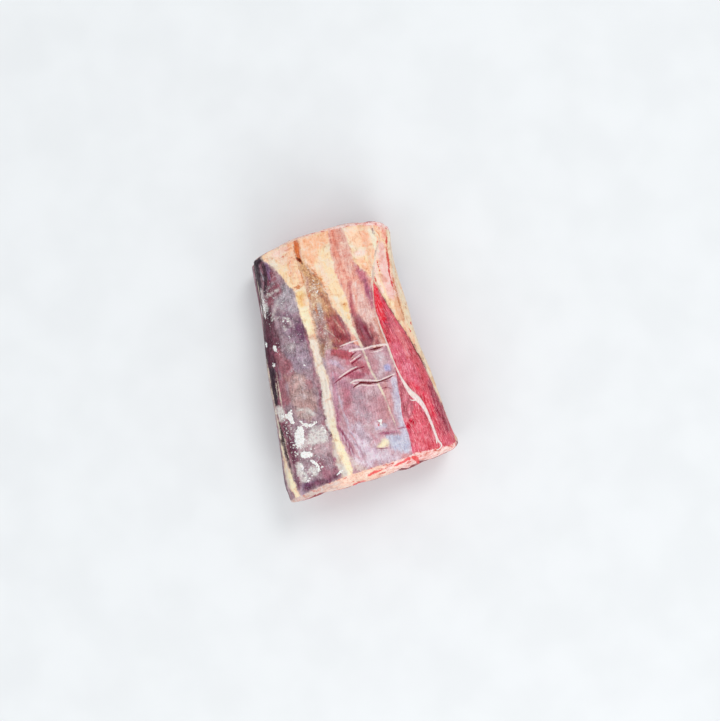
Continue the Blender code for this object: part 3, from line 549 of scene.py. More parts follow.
        (2.2, 2.9, 2.9, 2))),
    (PINK_WHITE, 0.5, 0.6, strip(((16, 98), (15, 84), (17, 70)), (0.3, 0.6, 0.3))),
    (ROSE_RED, 0.8, 1, strip(((16.8, 59.6), (15.8, 50), (14.8, 40.4), (14.4, 33)),
        (1.0, 1.9, 2.2, 2.2))),
    (ROSE_DEEP, 0.8, 0.5, strip(((15.4, 51.2), (13.6, 43), (13.2, 33.2)), (0.4, 0.7, 0.7))),
    (PURPLE_ROSE, 0.95, 2.0, strip(((24.8, 74), (27.6, 65.6), (29.4, 56.6), (30.4, 46.8), (31, 37)),
        (1.6, 3.4, 4.0, 3.2, 1.4))),
    (VIOLET_ROSE, 0.7, 1.6, strip(((28.8, 60), (30, 50.4), (31, 41)), (1.0, 2.2, 1.2))),
    (ROSE_DEEP, 0.9, 0.4, strip(((24, 77), (26.4, 71), (28.2, 67)), (0.3, 0.6, 0.4))),
    (PURPLE_BROWN, 0.95, 2.4, area((13.2, 34), (18, 30.6), (21.6, 25.6), (25.4, 19.6), (28.6, 10.6),
        (29.6, 4.4), (20, 3.6), (15.4, 6), (13.4, 12), (12.4, 23))),
    (MAROON_DEEP, 1, 1.4, strip(((19.6, 24), (22.6, 16.6), (25, 9.6)), (1.3, 2.8, 1.8))),
    (MUSCLE_DEEP, 0.8, 0.7, strip(((14.4, 28), (15.6, 20), (18, 12)), (0.8, 1.6, 1.2))),
    (ROSE_MAUVE, 0.6, 0.8, strip(((16.2, 33), (18.4, 23), (21.6, 12)), (0.2, 0.8, 0.3))),
    (ROSE_DUSTY, 0.7, 0.5, strip(((19.8, 28), (22.8, 20), (26.4, 9)), (0.2, 0.6, 0.3))),
    (BEIGE_WARM, 1, 1.1, strip(((21.4, 58), (23.2, 44.6), (25.4, 31.6), (28.2, 21.8), (30.4, 12.6),
        (31.8, 6)), (1.4, 2.3, 2.7, 2.4, 1.8, 1.3))),
    (PINK_WHITE, 0.6, 0.6, strip(((17.4, 57), (16.8, 47.4), (18.6, 36)), (0.4, 0.8, 0.4))),
    (DUSTY_RED, 0.85, 1.6, strip(((25.8, 23), (28, 14), (29, 6)), (1, 2.4, 2.6))),
    (TAN_BROWN, 0.85, 1.2, strip(((31, 26), (33, 16), (34, 6)), (0.8, 1.8, 2))),
    # membrane
    (MAUVE, 1, 0.8, area((-16, 8.5), (-10, 9), (-3.5, 8.5), (6, 11.5), (13, 7.5), (26.5, 1.5), (36, 1),
        (39, -23), (37.5, -41.5), (37, -57.5), (36, -75.5), (37, -92.5), (11, -97.5), (-19.5, -102),
        (-20.5, -77.5), (-21.5, -53), (-20.5, -27), (-18, -8))),
    (ROSE_CRIMSON, 1, 1.2, strip(((-8, 7), (-2.5, 3), (3.5, 1)), (2.2, 4.1, 4.1))),
    (MUSCLE_DULL, 0.6, 0.9, strip(((-8, 5), (-4.2, 2), (0, 1.2)), (1.2, 2.0, 1.0))),
    (MUSCLE_DULL, 0.7, 1, strip(((-10, 5.5), (-7, 3.5)), (1.6, 1.3))),
    (BLUISH_PINK, 0.95, 0.6, strip(((-13.2, 0.4), (-8.6, -3.8), (-4.6, -8.4)), (1.6, 2.1, 1.4))),
    (ROSE_PALE, 0.7, 1.2, strip(((-13.5, -10.5), (-9, -15)), (2.2, 2.2))),
    (ROSE_DARK, 0.95, 1.4, strip(((-2, -13.5), (5, -16), (11, -17)), (2.4, 3.6, 2.2))),
    (ROSE_MEMBRANE, 0.9, 1.5, strip(((0.5, -5), (10, -7), (15, -14.5)), (2.2, 3.2, 3.5))),
    (MAUVE_WARM, 0.8, 1.5, strip(((13, -0.5), (20.5, -4.5), (21.5, -13.5)), (2.2, 4.1, 3.5))),
    (MAUVE_PALE, 0.9, 2, strip(((27, -3.5), (30, -9), (24.5, -21)), (3.2, 3.5, 2.9))),
    # blue and lilac film at the membrane's right margin: partly pale film, partly a painted reflection
    # of bluish light
    (BLUE_FILM_AND_SHEEN, 1, 1, spot(31.5, -16, 3.8, 3, -20)),
    (LILAC_FILM_AND_SHEEN, 0.92, 2.2, strip(((35, -28), (34.4, -40.4), (33.4, -52.6), (33.4, -63.6), (34, -72.4),
        (33.8, -84.5)), (3, 3.4, 2.8, 2.6, 3, 3.4))),
    (MAUVE_ROSE, 0.9, 2.5, strip(((-7.5, -20), (-3, -27.5), (-5.5, -33.5)), (2.5, 5.7, 3.5))),
    (ROSE_MAUVE, 0.6, 2.4, strip(((-7, -31.5), (-9, -37.5), (-8.5, -46)), (2.2, 3.2, 1.9))),
    (GREY_MAUVE, 0.9, 3, strip(((3, -30.5), (1.5, -41.5), (6.5, -52.5)), (4.8, 5.7, 3.2))),
    (MAUVE_PALE, 0.7, 2.5, strip(((12, -34.5), (19, -32.5)), (3.8, 3.5))),
    (MAUVE_WARM, 0.8, 2, strip(((22, -40), (20, -49), (19.5, -58.5)), (3.2, 4.1, 2.5))),
    (MAUVE_PALE, 0.8, 1, strip(((-17, -21.5), (-14.5, -31.5), (-15, -39.5)), (1.3, 1.6, 1.3))),
    (LILAC_FILM_AND_SHEEN, 0.75, 0.5, strip(((-13.8, -8.6), (-13.6, -22.2), (-12, -37.4), (-11.2, -47.4),
        (-9.8, -57.6), (-6.4, -68.4), (1, -79.8), (9.4, -91.6)),
        (0.3, 0.6, 0.7, 0.7, 0.8, 0.8, 0.8, 0.5))),
    (MAUVE_PALE, 0.9, 0.5, strip(((-16.6, 1), (-17, -12), (-17.2, -26), (-16.8, -40), (-15.6, -54)),
        (0.4, 0.8, 0.9, 0.8, 0.4))),
    (LILAC_FILM_AND_SHEEN, 0.6, 0.5, strip(((-13, -60), (-9.6, -68), (-6.2, -78), (-3.6, -88.4)),
        (0.3, 0.7, 0.7, 0.4))),
    (MAGENTA, 0.75, 0.6, strip(((-17.5, -36), (-17.5, -47), (-18.5, -53.5)), (0.6, 1, 0.6))),
    (MAGENTA, 0.95, 1, strip(((-19.4, -54.2), (-17.2, -60.8), (-14.2, -69), (-12.2, -78)),
        (0.8, 2.6, 2.6, 1.4))),
    (MAGENTA_DEEP, 0.8, 0.5, strip(((-18.4, -46), (-18.2, -55.8), (-16, -66.2), (-13.6, -76.4)),
        (0.3, 0.7, 0.8, 0.4))),
    (MAGENTA, 0.6, 0.8, strip(((-6.5, -74), (-4.5, -82.5), (-6, -90.5)), (0.6, 1, 0.6))),
    (MAGENTA, 0.5, 0.8, spot(0, -73, 1.6, 2.9, 30)),
    (LILAC_MID, 0.9, 2.5, strip(((-3, -58.5), (-1, -70.5), (-1.5, -80)), (4.1, 5.7, 3.2))),
    (MAUVE_PALE, 0.7, 2, strip(((6, -60.5), (11.5, -65)), (3.2, 2.5))),
    (MAGENTA, 0.7, 1, strip(((-13, -15), (-15, -27), (-16.4, -39), (-17.2, -51)),
        (1.7, 1.9, 1.9, 1.7))),
    (MAUVE_PALE, 0.8, 0.4, strip(((-13.4, -32.2), (-13, -43.4), (-12, -49.8)), (0.4, 0.6, 0.5))),
    (MAGENTA_DEEP, 0.5, 1, strip(((-18, -54.6), (-16.4, -61.2), (-15, -68.8), (-13.2, -75.4),
        (-11.2, -82)), (0.7, 1.7, 1.4, 1.8, 1))),
    (ROSE_MEMBRANE, 0.5, 2.6, strip(((-6.8, -26.2), (-5.8, -35.2), (-10.4, -42.8)), (2.4, 3.6, 2.2))),
    (BEIGE_BLUSH, 0.85, 1.6, strip(((26, -28.6), (26.8, -38.8), (26.4, -48.6), (23.4, -56.4)),
        (2.6, 3.1, 2.9, 1.7))),
    # bluish white on the lower membrane: partly pale film, partly a painted reflection of bluish light
    (BLUISH_WHITE_AND_SHEEN, 1, 2, strip(((20, -72), (26.5, -78), (31.5, -84)), (2.5, 6.7, 3.8))),
    (BLUISH_WHITE_AND_SHEEN, 0.7, 0.8, strip(((12.5, -63.5), (19, -62)), (1.3, 2.2))),
    (PALE_LILAC, 0.9, 3, strip(((0, -88.5), (8, -82), (16, -89), (25.5, -91)), (4.1, 5.7, 5.4, 2.5))),
    (BEIGE_PALE, 0.8, 1.5, strip(((-13, -82.5), (-10, -89.5), (-4.5, -94)), (1.9, 3.5, 1.9))),
    # a low crease across the membrane: painted shade, a soft magenta band with a darker line along it
    (MAGENTA, 0.95, 0.8, strip(((13.2, -68), (17.2, -68.4), (22, -68.8), (28, -68.6)),
        (0.8, 1.7, 1.7, 1.0))),
    (MAGENTA_DEEP, 0.8, 0.5, strip(((13.6, -68.2), (17.2, -68.4), (22, -68.9), (27, -68.7)),
        (0.3, 0.7, 0.6, 0.3))),
    (LILAC_LIGHT, 0.85, 2, strip(((-5.6, -64.8), (-0.6, -75.8), (7.2, -85), (12.8, -87.4)),
        (1.7, 2.9, 3.1, 1.7))),
    (LILAC_LIGHT, 0.8, 1.6, strip(((-10.6, -82.2), (-5.8, -88.2), (1.2, -89.8)), (1.2, 1.9, 1.7))),
    (MAGENTA, 0.5, 0.6, strip(((-9.4, -66), (-5, -76), (-1.4, -86)), (0.2, 0.5, 0.2))),
    (LILAC_LIGHT, 0.8, 0.4, strip(((-12.4, -57), (-6.6, -64), (1.4, -77.4), (10.2, -90.8)),
        (0.4, 0.6, 0.6, 0.4))),
    (LILAC_LIGHT, 0.8, 0.4, strip(((-12, -65.8), (-7.4, -78), (-4.2, -89.2)), (0.4, 0.6, 0.4))),
    (LILAC_LIGHT, 0.7, 0.4, strip(((-4.4, -54), (4.2, -65.8), (8.4, -76.6)), (0.4, 0.5, 0.4))),
    (LILAC_LIGHT, 0.7, 1, strip(((12, -57.6), (13.6, -61.8), (18, -64)), (1.2, 1.9, 1.2))),
    (LILAC_LIGHT, 0.85, 0.4, strip(((-18.4, -60), (-15.4, -68), (-12.4, -77), (-10, -84)),
        (0.2, 0.5, 0.5, 0.3))),
    (LILAC_LIGHT, 0.7, 0.4, strip(((-16.4, -56), (-13, -64), (-10.6, -71)), (0.2, 0.5, 0.3))),
    (MAGENTA_DEEP, 0.8, 0.5, strip(((29, -66.6), (32.5, -66.2), (35.5, -66.8)), (0.4, 0.9, 0.7))),
    (CORAL_PALE, 0.9, 1, spot(30.6, -90.2, 3.6, 1.9)),
)
RED_STROKES = (
    (RED_BRIGHT, 1, 1.5, strip(((36.4, 57), (35.5, 47), (35.6, 36), (37, 26)), (1.3, 2.9, 4.2, 3.6))),
    (RED_DEEP, 0.7, 1, strip(((41, 42), (40.4, 32), (40, 22)), (0.6, 1.3, 0.6))),
    (RED_DEEP, 0.9, 1, strip(((34.5, 24), (36.5, 14), (38.5, 4)), (1.0, 2.5, 1.3))),
    (RED_SALMON, 0.7, 1.6, strip(((41.5, 28), (44.5, 17), (48, 8)), (1, 2.8, 2.0))),
    (RED_ROSE, 0.9, 2, strip(((42, 1.5), (45.5, -12), (50.5, -25), (54, -33)), (3.2, 5.7, 5.4, 2.5))),
    (RED_CORAL, 0.8, 1.5, strip(((53.5, 5.5), (57, -15), (60, -30)), (2.0, 3.0, 2.2))),
    (RED_CLEAR, 0.95, 1.3, strip(((49, -33), (55, -43.2), (58.8, -53.8), (61, -65.6), (61.8, -77)),
        (1.0, 1.8, 3.0, 2.9, 1.8))),
    (WINE, 1, 1.2, strip(((63.4, -34), (65.4, -48), (67.2, -61.2), (67.8, -72), (68, -79)),
        (1.6, 3.6, 4.4, 3.4, 1.4))),
    (DULL_RED, 1, 1, strip(((39.6, -25), (40, -36), (41, -48), (40, -58)), (1.8, 3.6, 5.0, 3.4))),
    # painted shadow on the bare muscle beside the torn membrane edge
    (WINE, 0.4, 0.8, strip(((38.4, -36), (38.4, -46), (38.6, -56)), (0.7, 1.2, 0.9))),
    (RED_SALMON, 0.7, 1.6, area((47.2, -61.8), (51.8, -65.4), (54.2, -74.4), (53.8, -84.2), (46.2, -88),
        (38.4, -89.4), (39.6, -78.6), (42, -68))),
    (RED_CORAL, 0.7, 1.2, strip(((54.5, -66), (55.4, -76), (55, -87)), (1.2, 1.6, 3.0))),
    (RED_ROSE, 0.7, 1.2, strip(((65, -80.5), (67, -87)), (2.2, 2.5))),
    (RED_DEEP, 0.7, 0.8, strip(((33.6, 44), (33, 33), (34, 22)), (0.5, 0.8, 0.6))),
    (RED_BLUSH, 0.6, 1.4, strip(((46, 15), (49, 7), (50, -2), (50.5, -11)), (1.2, 2.4, 2.4, 1.2))),
    # painted shadow along the shadow line
    (SHADOW_WINE, 0.8, 0.5, strip(((43.5, 34.5), (48.5, 21), (54, 8.5)), (0.4, 0.6, 0.5))),
    (RED_MUSCLE, 0.5, 2.4, area((41, -64), (62, -62), (66, -86), (38, -89))),
    (BLOOD_DARK, 0.9, 1.4, spot(40.5, -65.4, 5.4, 3.2, 20)),
)
FAT_STROKES = (
    # wedge 1
    (PINK_WHITE, 0.6, 2, strip(((-46, 95), (-38, 94), (-32, 90)), (2, 4, 4))),
    (GREEN_WHITE, 0.9, 1.2, strip(((-46, 96), (-42.5, 91.5), (-39.5, 84.5)), (1.6, 2.4, 1.4))),
    (PINK_WHITE, 0.9, 1.5, strip(((-38, 96), (-31, 98), (-26, 99)), (2.5, 3.2, 2.2))),
    (PEACH, 0.9, 1.4, strip(((-24, 103), (-25, 94), (-27.5, 86), (-29, 78)), (2.0, 2.4, 2.4, 2.0))),
    (PEACH, 0.7, 1.2, strip(((-23, 79), (-22.4, 71), (-24, 67)), (1.4, 1.8, 2.2))),
    (CREAM_PEACH, 0.8, 1.6, strip(((-36, 82), (-33, 74), (-30, 68)), (1.4, 2.2, 1.8))),
    (YELLOW, 0.9, 1.6, strip(((-26.2, 62), (-26, 56.8), (-25.6, 51)), (1.9, 2.9, 2.2))),
    (CREAM_LIGHT, 1, 2.2, strip(((-25.2, 45), (-24.6, 36), (-24, 27.5)), (4.2, 4.4, 3.8))),
    (IVORY, 1, 2.2, strip(((-23.6, 21), (-23, 9), (-22.6, -6), (-21.8, -18), (-22.2, -30), (-23, -40),
        (-23.2, -48)), (3.2, 3.6, 3.8, 4, 4, 4, 3.6))),
    (OLD_CREAM, 1, 2, strip(((-22.8, -50), (-22.4, -57), (-21.8, -66)), (3.4, 3.4, 3.4))),
    (CREAM_LIGHT, 1, 1.6, strip(((-21.4, -66), (-19.8, -76), (-18.2, -84), (-18.2, -97)),
        (2.8, 3.2, 3.2, 2.8))),
    (FAT_GREY, 0.8, 0.4, strip(((-20.2, -13.4), (-21.4, -25.4), (-22.6, -37.6), (-23.8, -49.6)),
        (0.4, 0.5, 0.5, 0.4))),
    (FAT_GREY, 0.7, 0.5, strip(((-24.6, 2), (-24.2, -14), (-25, -28), (-25.6, -44)),
        (0.3, 0.5, 0.5, 0.3))),
    (CRUST, 0.95, 1.2, strip(((-25.6, -68), (-25, -78), (-24, -87), (-21.8, -96)),
        (1.2, 2.4, 2.8, 2.2))),
    (MAGENTA, 0.5, 0.4, strip(((-19, -30), (-19.4, -42), (-19.6, -52)), (0.1, 0.3, 0.1))),
    # wedge 2
    (PEACH, 1, 2, strip(((-13, 101.5), (-4, 98), (5, 102), (10.5, 104.5)), (3.2, 7, 4.8, 2.2))),
    (PEACH, 0.9, 1.5, strip(((-12, 94.5), (-10, 85.5), (-6.5, 79)), (2.9, 4.1, 2.2))),
    (CREAM_PEACH, 1, 2.4, strip(((1, 88), (-2, 77), (2, 66.5), (4.5, 56.5), (6, 48)),
        (4.2, 6.4, 5.8, 4.4, 3.4))),
    (PINK_WHITE, 0.5, 2, strip(((-3, 84), (-4, 74), (-1, 64)), (1.6, 2.6, 1.6))),
    (ORANGE_YELLOW, 0.9, 1.2, strip(((9, 43.5), (8.5, 36.5), (9, 31.5)), (1.6, 1.9, 1.3))),
    (OLD_CREAM, 0.8, 1.2, strip(((2, 51), (5.5, 38.5), (9, 28), (10.5, 18)), (1.3, 1.3, 1.3, 1))),
    (ORANGE_YELLOW, 0.7, 0.8, spot(-6, 68, 1.9, 1.6)),
    # peach patch
    (PEACH_LIGHT, 1, 1.5, strip(((26.5, 102.5), (28.5, 94), (31, 88.5)), (3.8, 4.1, 2.2))),
    (PEACH_DEEP, 1, 0.8, strip(((36.5, 96), (37, 88.5)), (3.5, 3.2))),
    (PINK_WHITE, 1, 0.8, spot(30.5, 82, 5.4, 2.4, -8)),
    (PEACH, 0.9, 1.5, strip(((28.5, 76.5), (32.5, 71.5), (35, 64.5)), (2.9, 3.8, 1.6))),
    (GREEN_CREAM, 1, 0.8, strip(((42.4, 99), (44, 94), (44.4, 89.4), (43.2, 82.2)),
        (1.3, 2.3, 2.3, 1.0))),
    (PEACH_DEEP, 0.8, 0.8, spot(41, 80.5, 1.6, 2.2)),
    # rosy strip
    (ROSY_WARM, 1, 1, strip(((53.5, 99.5), (53.5, 91.5)), (3.2, 2.2))),
    (ROSY, 1, 1.5, strip(((49, 84.5), (47.5, 70), (48, 55), (49.5, 42)), (2.9, 3.5, 4.8, 4.1))),
    (ROSY_PALE, 0.8, 1, strip(((44.5, 80.5), (40.5, 68.5), (40, 60.5), (41.5, 47)), (1, 1.3, 1, 1.6))),
    (PEACH_ORANGE, 0.9, 1.2, strip(((51, 41.5), (51, 30), (52, 22)), (1.3, 2.2, 2.2))),
    # painted shadow: grey beside the cream fat at the left edge
    (FAT_GREY, 0.9, 1, strip(((-68, -80), (-69, -88), (-69.4, -98)), (0.6, 1.2, 1.2))),
    (CREAM_LIGHT, 1, 0.8, strip(((-66.6, -84), (-65.8, -94), (-64.6, -104)), (1.3, 1.6, 1.6))),
    (FAT_GREY, 0.8, 0.8, spot(15, -76, 6, 4)),
    (CREAM_LIGHT, 0.9, 0.8, strip(((12.5, -77.6), (17.6, -75.4)), 1.6)),
    (CREAM, 1, 0.6, strip(((56.5, 99), (56, 91), (54.5, 80), (55.5, 66.5), (56, 53.5), (57, 37),
        (58.5, 20.5), (61, -3), (65, -30), (70, -58.5), (73, -88.5)), (1, 1.3, 1.9, 2.2, 2.2, 2.2, 1.9,
        1.4, 1.1, 1.1, 1.1))),
    (PEACH_ORANGE, 0.8, 0.8, strip(((59, 93.5), (58, 84), (57, 77.5)), (1.1, 1, 0.5))),
)

# Muscle bundles on the cuts, (across, up) from the middle of the cut, as in the solid.
WIDE_BUNDLES = ((-54, 3), (-33, -17), (-30, 15), (-6, -5), (4, 20), (21, -18), (31, 9), (56, -10),
                (55, 15))
NARROW_BUNDLES = ((-44, 2), (-22, -14), (-19, 12), (3, -3), (22, 14), (27, -14), (46, 2))
BUNDLE_FLATNESS = 1.2

# Side marks, (along, up): the sides go from the underside at 0 to the shoulder.
SOLID_THICKNESS = ((-95, 70), (-50, 75), (16, 73), (77, 65), (107, 60))
EQUATOR = 0.52
LOWER_STRETCH = 1.06
GROOVE_WANDER = 0.1
GROOVE_WAVELENGTH = 258.0
RIGHT_GROOVES = (0.36, -0.30)
LEFT_GROOVES = (0.16, -0.62)
SHOULDER_RIGHT = 0.56
SHOULDER_LEFT = 0.73
UNDERSIDE_LEVEL = 1.5
SIDE_REACH = 108.0

# Ends of the slab: the skin's edge at each cut, (across, along), and the cut's middle and reach.
WIDE_EDGE = ((-75, -109.5), (-64, -105.5), (-45, -100.7), (-27, -97.3), (11, -94.1), (26, -93.1),
             (38, -91.3), (61, -91.9), (77, -90.9))
NARROW_EDGE = ((-66, 96), (-45, 101.5), (-20, 105.5), (0, 106.6), (20, 107), (35, 106.6), (50, 103),
               (62, 95.5))
WIDE_MIDDLE = (1.3, 35.0)
WIDE_REACH = (76.4, 35.0)
NARROW_MIDDLE = (-1.8, 30.0)
NARROW_REACH = (63.1, 30.0)
CUT_EXPONENT = 3.1
DEEPEST_INSET = 30.0


# ------------------------------------------------------------------ small mathematics
# Depth given to places far outside a shape, in millimetres.
FAR = -12.0


def smooth(low, high, value):
    share = np.clip((value - low) / (high - low), 0.0, 1.0)
    return share * share * (3.0 - 2.0 * share)


def bell(value):
    return np.exp(-value * value)


def follow(table, place):
    """Value of a table of (place, value) keys."""
    places, values = zip(*table)
    return np.interp(place, places, values)


def rounded(points, closed, steps=4):
    """A smooth line through points, with extra points between them."""
    points = np.asarray(points, float)
    count = len(points)
    line = []
    for index in range(count if closed else count - 1):
        around = np.arange(index - 1, index + 3)
        around = around % count if closed else np.clip(around, 0, count - 1)
        before, start, end, after = points[around]
        for step in range(steps):
            t = step / steps
            line.append(0.5 * (2 * start + (end - before) * t
                               + (2 * before - 5 * start + 4 * end - after) * t * t
                               + (3 * start - before - 3 * end + after) * t ** 3))
    if not closed:
        line.append(points[-1])
    return np.array(line)


def near(places, low, high, margin):
    """Which places lie in a box widened by a margin."""
    return np.all((places > low - margin) & (places < high + margin), axis=1)


def depth_in_line(places, line, widths):
    """Half width less distance, to an open line whose half width changes along it."""
    best = np.full(len(places), -99.0)
    for index in range(len(line) - 1):
        start, run = line[index], line[index + 1] - line[index]
        share = np.clip((places - start) @ run / max(run @ run, 1e-9), 0.0, 1.0)
        away = np.linalg.norm(places - start - share[:, None] * run, axis=1)
        width = widths[index] + (widths[index + 1] - widths[index]) * share
        best = np.maximum(best, width - away)
    return best


def depth_in_area(places, outline):
    """Signed distance to a closed outline, positive inside."""
    following = np.roll(outline, -1, axis=0)
    away = np.full(len(places), 99.0)
    inside = np.zeros(len(places), bool)
    for start, end in zip(outline, following):
        run = end - start
        share = np.clip((places - start) @ run / max(run @ run, 1e-9), 0.0, 1.0)
        away = np.minimum(away, np.linalg.norm(places - start - share[:, None] * run, axis=1))
        if start[1] != end[1]:
            crosses = (start[1] > places[:, 1]) != (end[1] > places[:, 1])
            at = start[0] + (places[:, 1] - start[1]) * run[0] / run[1]
            inside ^= crosses & (places[:, 0] < at)
    return np.where(inside, away, -away)


def spot_share(places, centre, reach, turn):
    """Distance from a spot's centre, as a share of its reach."""
    angle = math.radians(turn)
    offset = places - np.asarray(centre, float)
    along = offset[:, 0] * math.cos(angle) + offset[:, 1] * math.sin(angle)
    cross = -offset[:, 0] * math.sin(angle) + offset[:, 1] * math.cos(angle)
    return np.hypot(along / reach[0], cross / reach[1])


def depth(places, shapes):
    """How deep places lie in any of the shapes, in millimetres; negative outside them."""
    best = np.full(len(places), FAR)
    for shape in shapes:
        kind, points = shape[0], np.atleast_2d(np.asarray(shape[1], float))
        reach = np.asarray(shape[2], float) if kind == "spot" else 0.0
        close = near(places, points.min(0) - reach, points.max(0) + reach, -FAR)
        if not close.any():
            continue
        if kind == "area":
            found = depth_in_area(places[close], rounded(points, True))
        elif kind == "strip":
            line = rounded(points, False)
            widths = np.broadcast_to(np.asarray(shape[2], float), (len(points),))
            steps = np.linspace(0, len(points) - 1, len(line))
            widths = np.interp(steps, range(len(points)), widths)
            found = depth_in_line(places[close], line, widths)
        else:
            found = (1.0 - spot_share(places[close], points[0], shape[2], shape[3])) * min(shape[2])
        best[close] = np.maximum(best[close], found)
    return best


def field(places, blots):
    """Sum of soft blots, at most 1."""
    total = np.zeros(len(places))
    for x, y, reach_x, reach_y, turn, strength in blots:
        total += strength * bell(spot_share(places, (x, y), (reach_x, reach_y), turn))
    return np.clip(total, 0.0, 1.0)


def wander(places, size, octaves=3, shift=0.0):
    """Smooth noise, about -1 to 1, with features of a size in millimetres."""
    scaled = places / size + shift
    return np.array([noise.fractal(Vector(place), 1.0, 2.0, octaves) for place in scaled])


# ------------------------------------------------------------------ the skin
def add_object(name, data):
    made = bpy.data.objects.new(name, data)
    bpy.context.scene.collection.objects.link(made)
    return made


def select_only(obj):
    bpy.ops.object.select_all(action="DESELECT")
    obj.select_set(True)
    bpy.context.view_layer.objects.active = obj


def apply_modifiers(obj):
    select_only(obj)
    for modifier in list(obj.modifiers):
        bpy.ops.object.modifier_apply(modifier=modifier.name)


def read_vectors(items, name):
    """One vector of each of a mesh's items, as rows."""
    flat = np.empty(len(items) * 3)
    items.foreach_get(name, flat)
    return flat.reshape(-1, 3)


def places_of(mesh):
    """Vertex places in millimetres."""
    return read_vectors(mesh.vertices, "co") / MM


def normals_of(mesh):
    return read_vectors(mesh.vertex_normals, "vector")


def face_centres(mesh):
    return read_vectors(mesh.polygons, "center") / MM


def set_places(mesh, places):
    mesh.vertices.foreach_set("co", (places * MM).ravel())
    mesh.update()


def marks_plane(places):
    """Where the camera sees each place, on the marks' level plane and from the marks' zero."""
    foot = np.array(CAMERA_FOOT)
    scale = (CAMERA_HEIGHT - MARK_LEVEL) / (CAMERA_HEIGHT - places[:, 2:3])
    return foot + (places[:, :2] - foot) * scale - np.array(MARK_ZERO)


def beside_route(seen, route):
    """How far to the right of a route from top to bottom places are seen."""
    return seen[:, 0] - follow(tuple((y, x) for x, y in reversed(route)), seen[:, 1])


MERGE_DISTANCE = 0.00001


def merged_copy(node):
    """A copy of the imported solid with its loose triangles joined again."""
    data = node.data.copy()
    data.materials.clear()
    skin = add_object("shank_meat", data)
    select_only(skin)
    bpy.ops.object.mode_set(mode="EDIT")
    bpy.ops.mesh.select_mode(type="VERT")
    bpy.ops.mesh.select_all(action="SELECT")
    bpy.ops.mesh.remove_doubles(threshold=MERGE_DISTANCE)
    bpy.ops.mesh.tris_convert_to_quads()
    bpy.ops.object.mode_set(mode="OBJECT")
    return skin


def select_parts(obj, kind, chosen):
    """Opens the object in edit mode with only the chosen edges or polygons selected."""
    select_only(obj)
    bpy.context.tool_settings.mesh_select_mode = (False, kind == "edges", kind == "polygons")
    for part in ("vertices", "edges", "polygons"):
        items = getattr(obj.data, part)
        items.foreach_set("select", chosen if part == kind else np.zeros(len(items), bool))
    bpy.ops.object.mode_set(mode="EDIT")


# Which edges are creased at the step: near its line, high up and short of the narrow end.
STEP_HALF_WIDTH = 2.0
STEP_FLOOR = 55.0
STEP_END = 52.0
STEP_CREASE = 0.8


def crease_membrane_step(skin):
    """Keeps the step at the torn membrane crisp when the skin is subdivided."""
    mesh = skin.data
    places = places_of(mesh)
    seen = marks_plane(places)
    beside = np.abs(beside_route(seen, SOLID_STEP))
    on_step = (beside < STEP_HALF_WIDTH) & (places[:, 2] > STEP_FLOOR) & (seen[:, 1] < STEP_END)
    ends = np.empty(len(mesh.edges) * 2, int)
    mesh.edges.foreach_get("vertices", ends)
    ends = ends.reshape(-1, 2)
    run = np.abs(places[ends[:, 1]] - places[ends[:, 0]])
    lengthwise = run[:, 1] > 2.0 * run[:, 0]
    select_parts(skin, "edges", on_step[ends].all(axis=1) & lengthwise)
    bpy.ops.transform.edge_crease(value=STEP_CREASE)
    bpy.ops.object.mode_set(mode="OBJECT")


DENSE_LEVELS = 2


def make_dense(skin):
    modifier = skin.modifiers.new("Dense", "SUBSURF")
    modifier.levels = modifier.render_levels = DENSE_LEVELS
    apply_modifiers(skin)


# Faces are split once more this far around the marks, and only above the floor height.
RELIEF_MARKS = SLITS + CREASES + RIDGES
DETAIL_SHAPES = RELIEF_MARKS + FROST + (strip(MEMBRANE_EDGE[1:], 0.5), strip(SHADOW_LINE, 0.5))
DETAIL_REACH = 1.6
FINE_REACH = 0.6
DETAIL_FLOOR = 50.0


def refine_details(skin, shapes, reach):
    """Splits the faces of the top once more, as far around some shapes as the reach."""
    centres = face_centres(skin.data)
    chosen = (depth(marks_plane(centres), shapes) > -reach) & (centres[:, 2] > DETAIL_FLOOR)
    select_parts(skin, "polygons", chosen)
    bpy.ops.mesh.subdivide(number_cuts=1, smoothness=0.0)
    bpy.ops.object.mode_set(mode="OBJECT")


def groove_height(level, y):
    """Height of a groove of the sides, as in the solid."""
    thickness = follow(SOLID_THICKNESS, y)
    middle = EQUATOR * thickness
    turn = 2.0 * math.pi * y / GROOVE_WAVELENGTH + 5.0 * level
    wandered = level + GROOVE_WANDER * np.sin(turn)
    return np.where(wandered > 0, middle + (thickness - middle) * wandered,
                    middle * (1.0 + LOWER_STRETCH * wandered))


def groove_strip(level, widths):
    """A groove of the sides as a strip of side marks."""
    along = np.linspace(-SIDE_REACH, SIDE_REACH, len(widths))
    return strip(tuple(zip(along, groove_height(level, along))), widths)


def cut_inset(places, middle, reach):
    """How far inside a cut's outline a place lies, negative outside it."""
    x = np.abs(places[:, 0] - middle[0]) / reach[0]
    z = np.abs(places[:, 2] - middle[1]) / reach[1]
    ratio = (x ** CUT_EXPONENT + z ** CUT_EXPONENT) ** (1.0 / CUT_EXPONENT) + 1e-6
    slope = np.hypot(x ** (CUT_EXPONENT - 1) / reach[0], z ** (CUT_EXPONENT - 1) / reach[1])
    slope = slope / ratio ** (CUT_EXPONENT - 1)
    return np.minimum((1.0 - ratio) / np.maximum(slope, 1e-3), DEEPEST_INSET)


def inside_edges(x, y):
    """How far places lie inside the skin's edges at the two cuts, negative on a cut."""
    return np.minimum(y - follow(WIDE_EDGE, x), follow(NARROW_EDGE, x) - y)


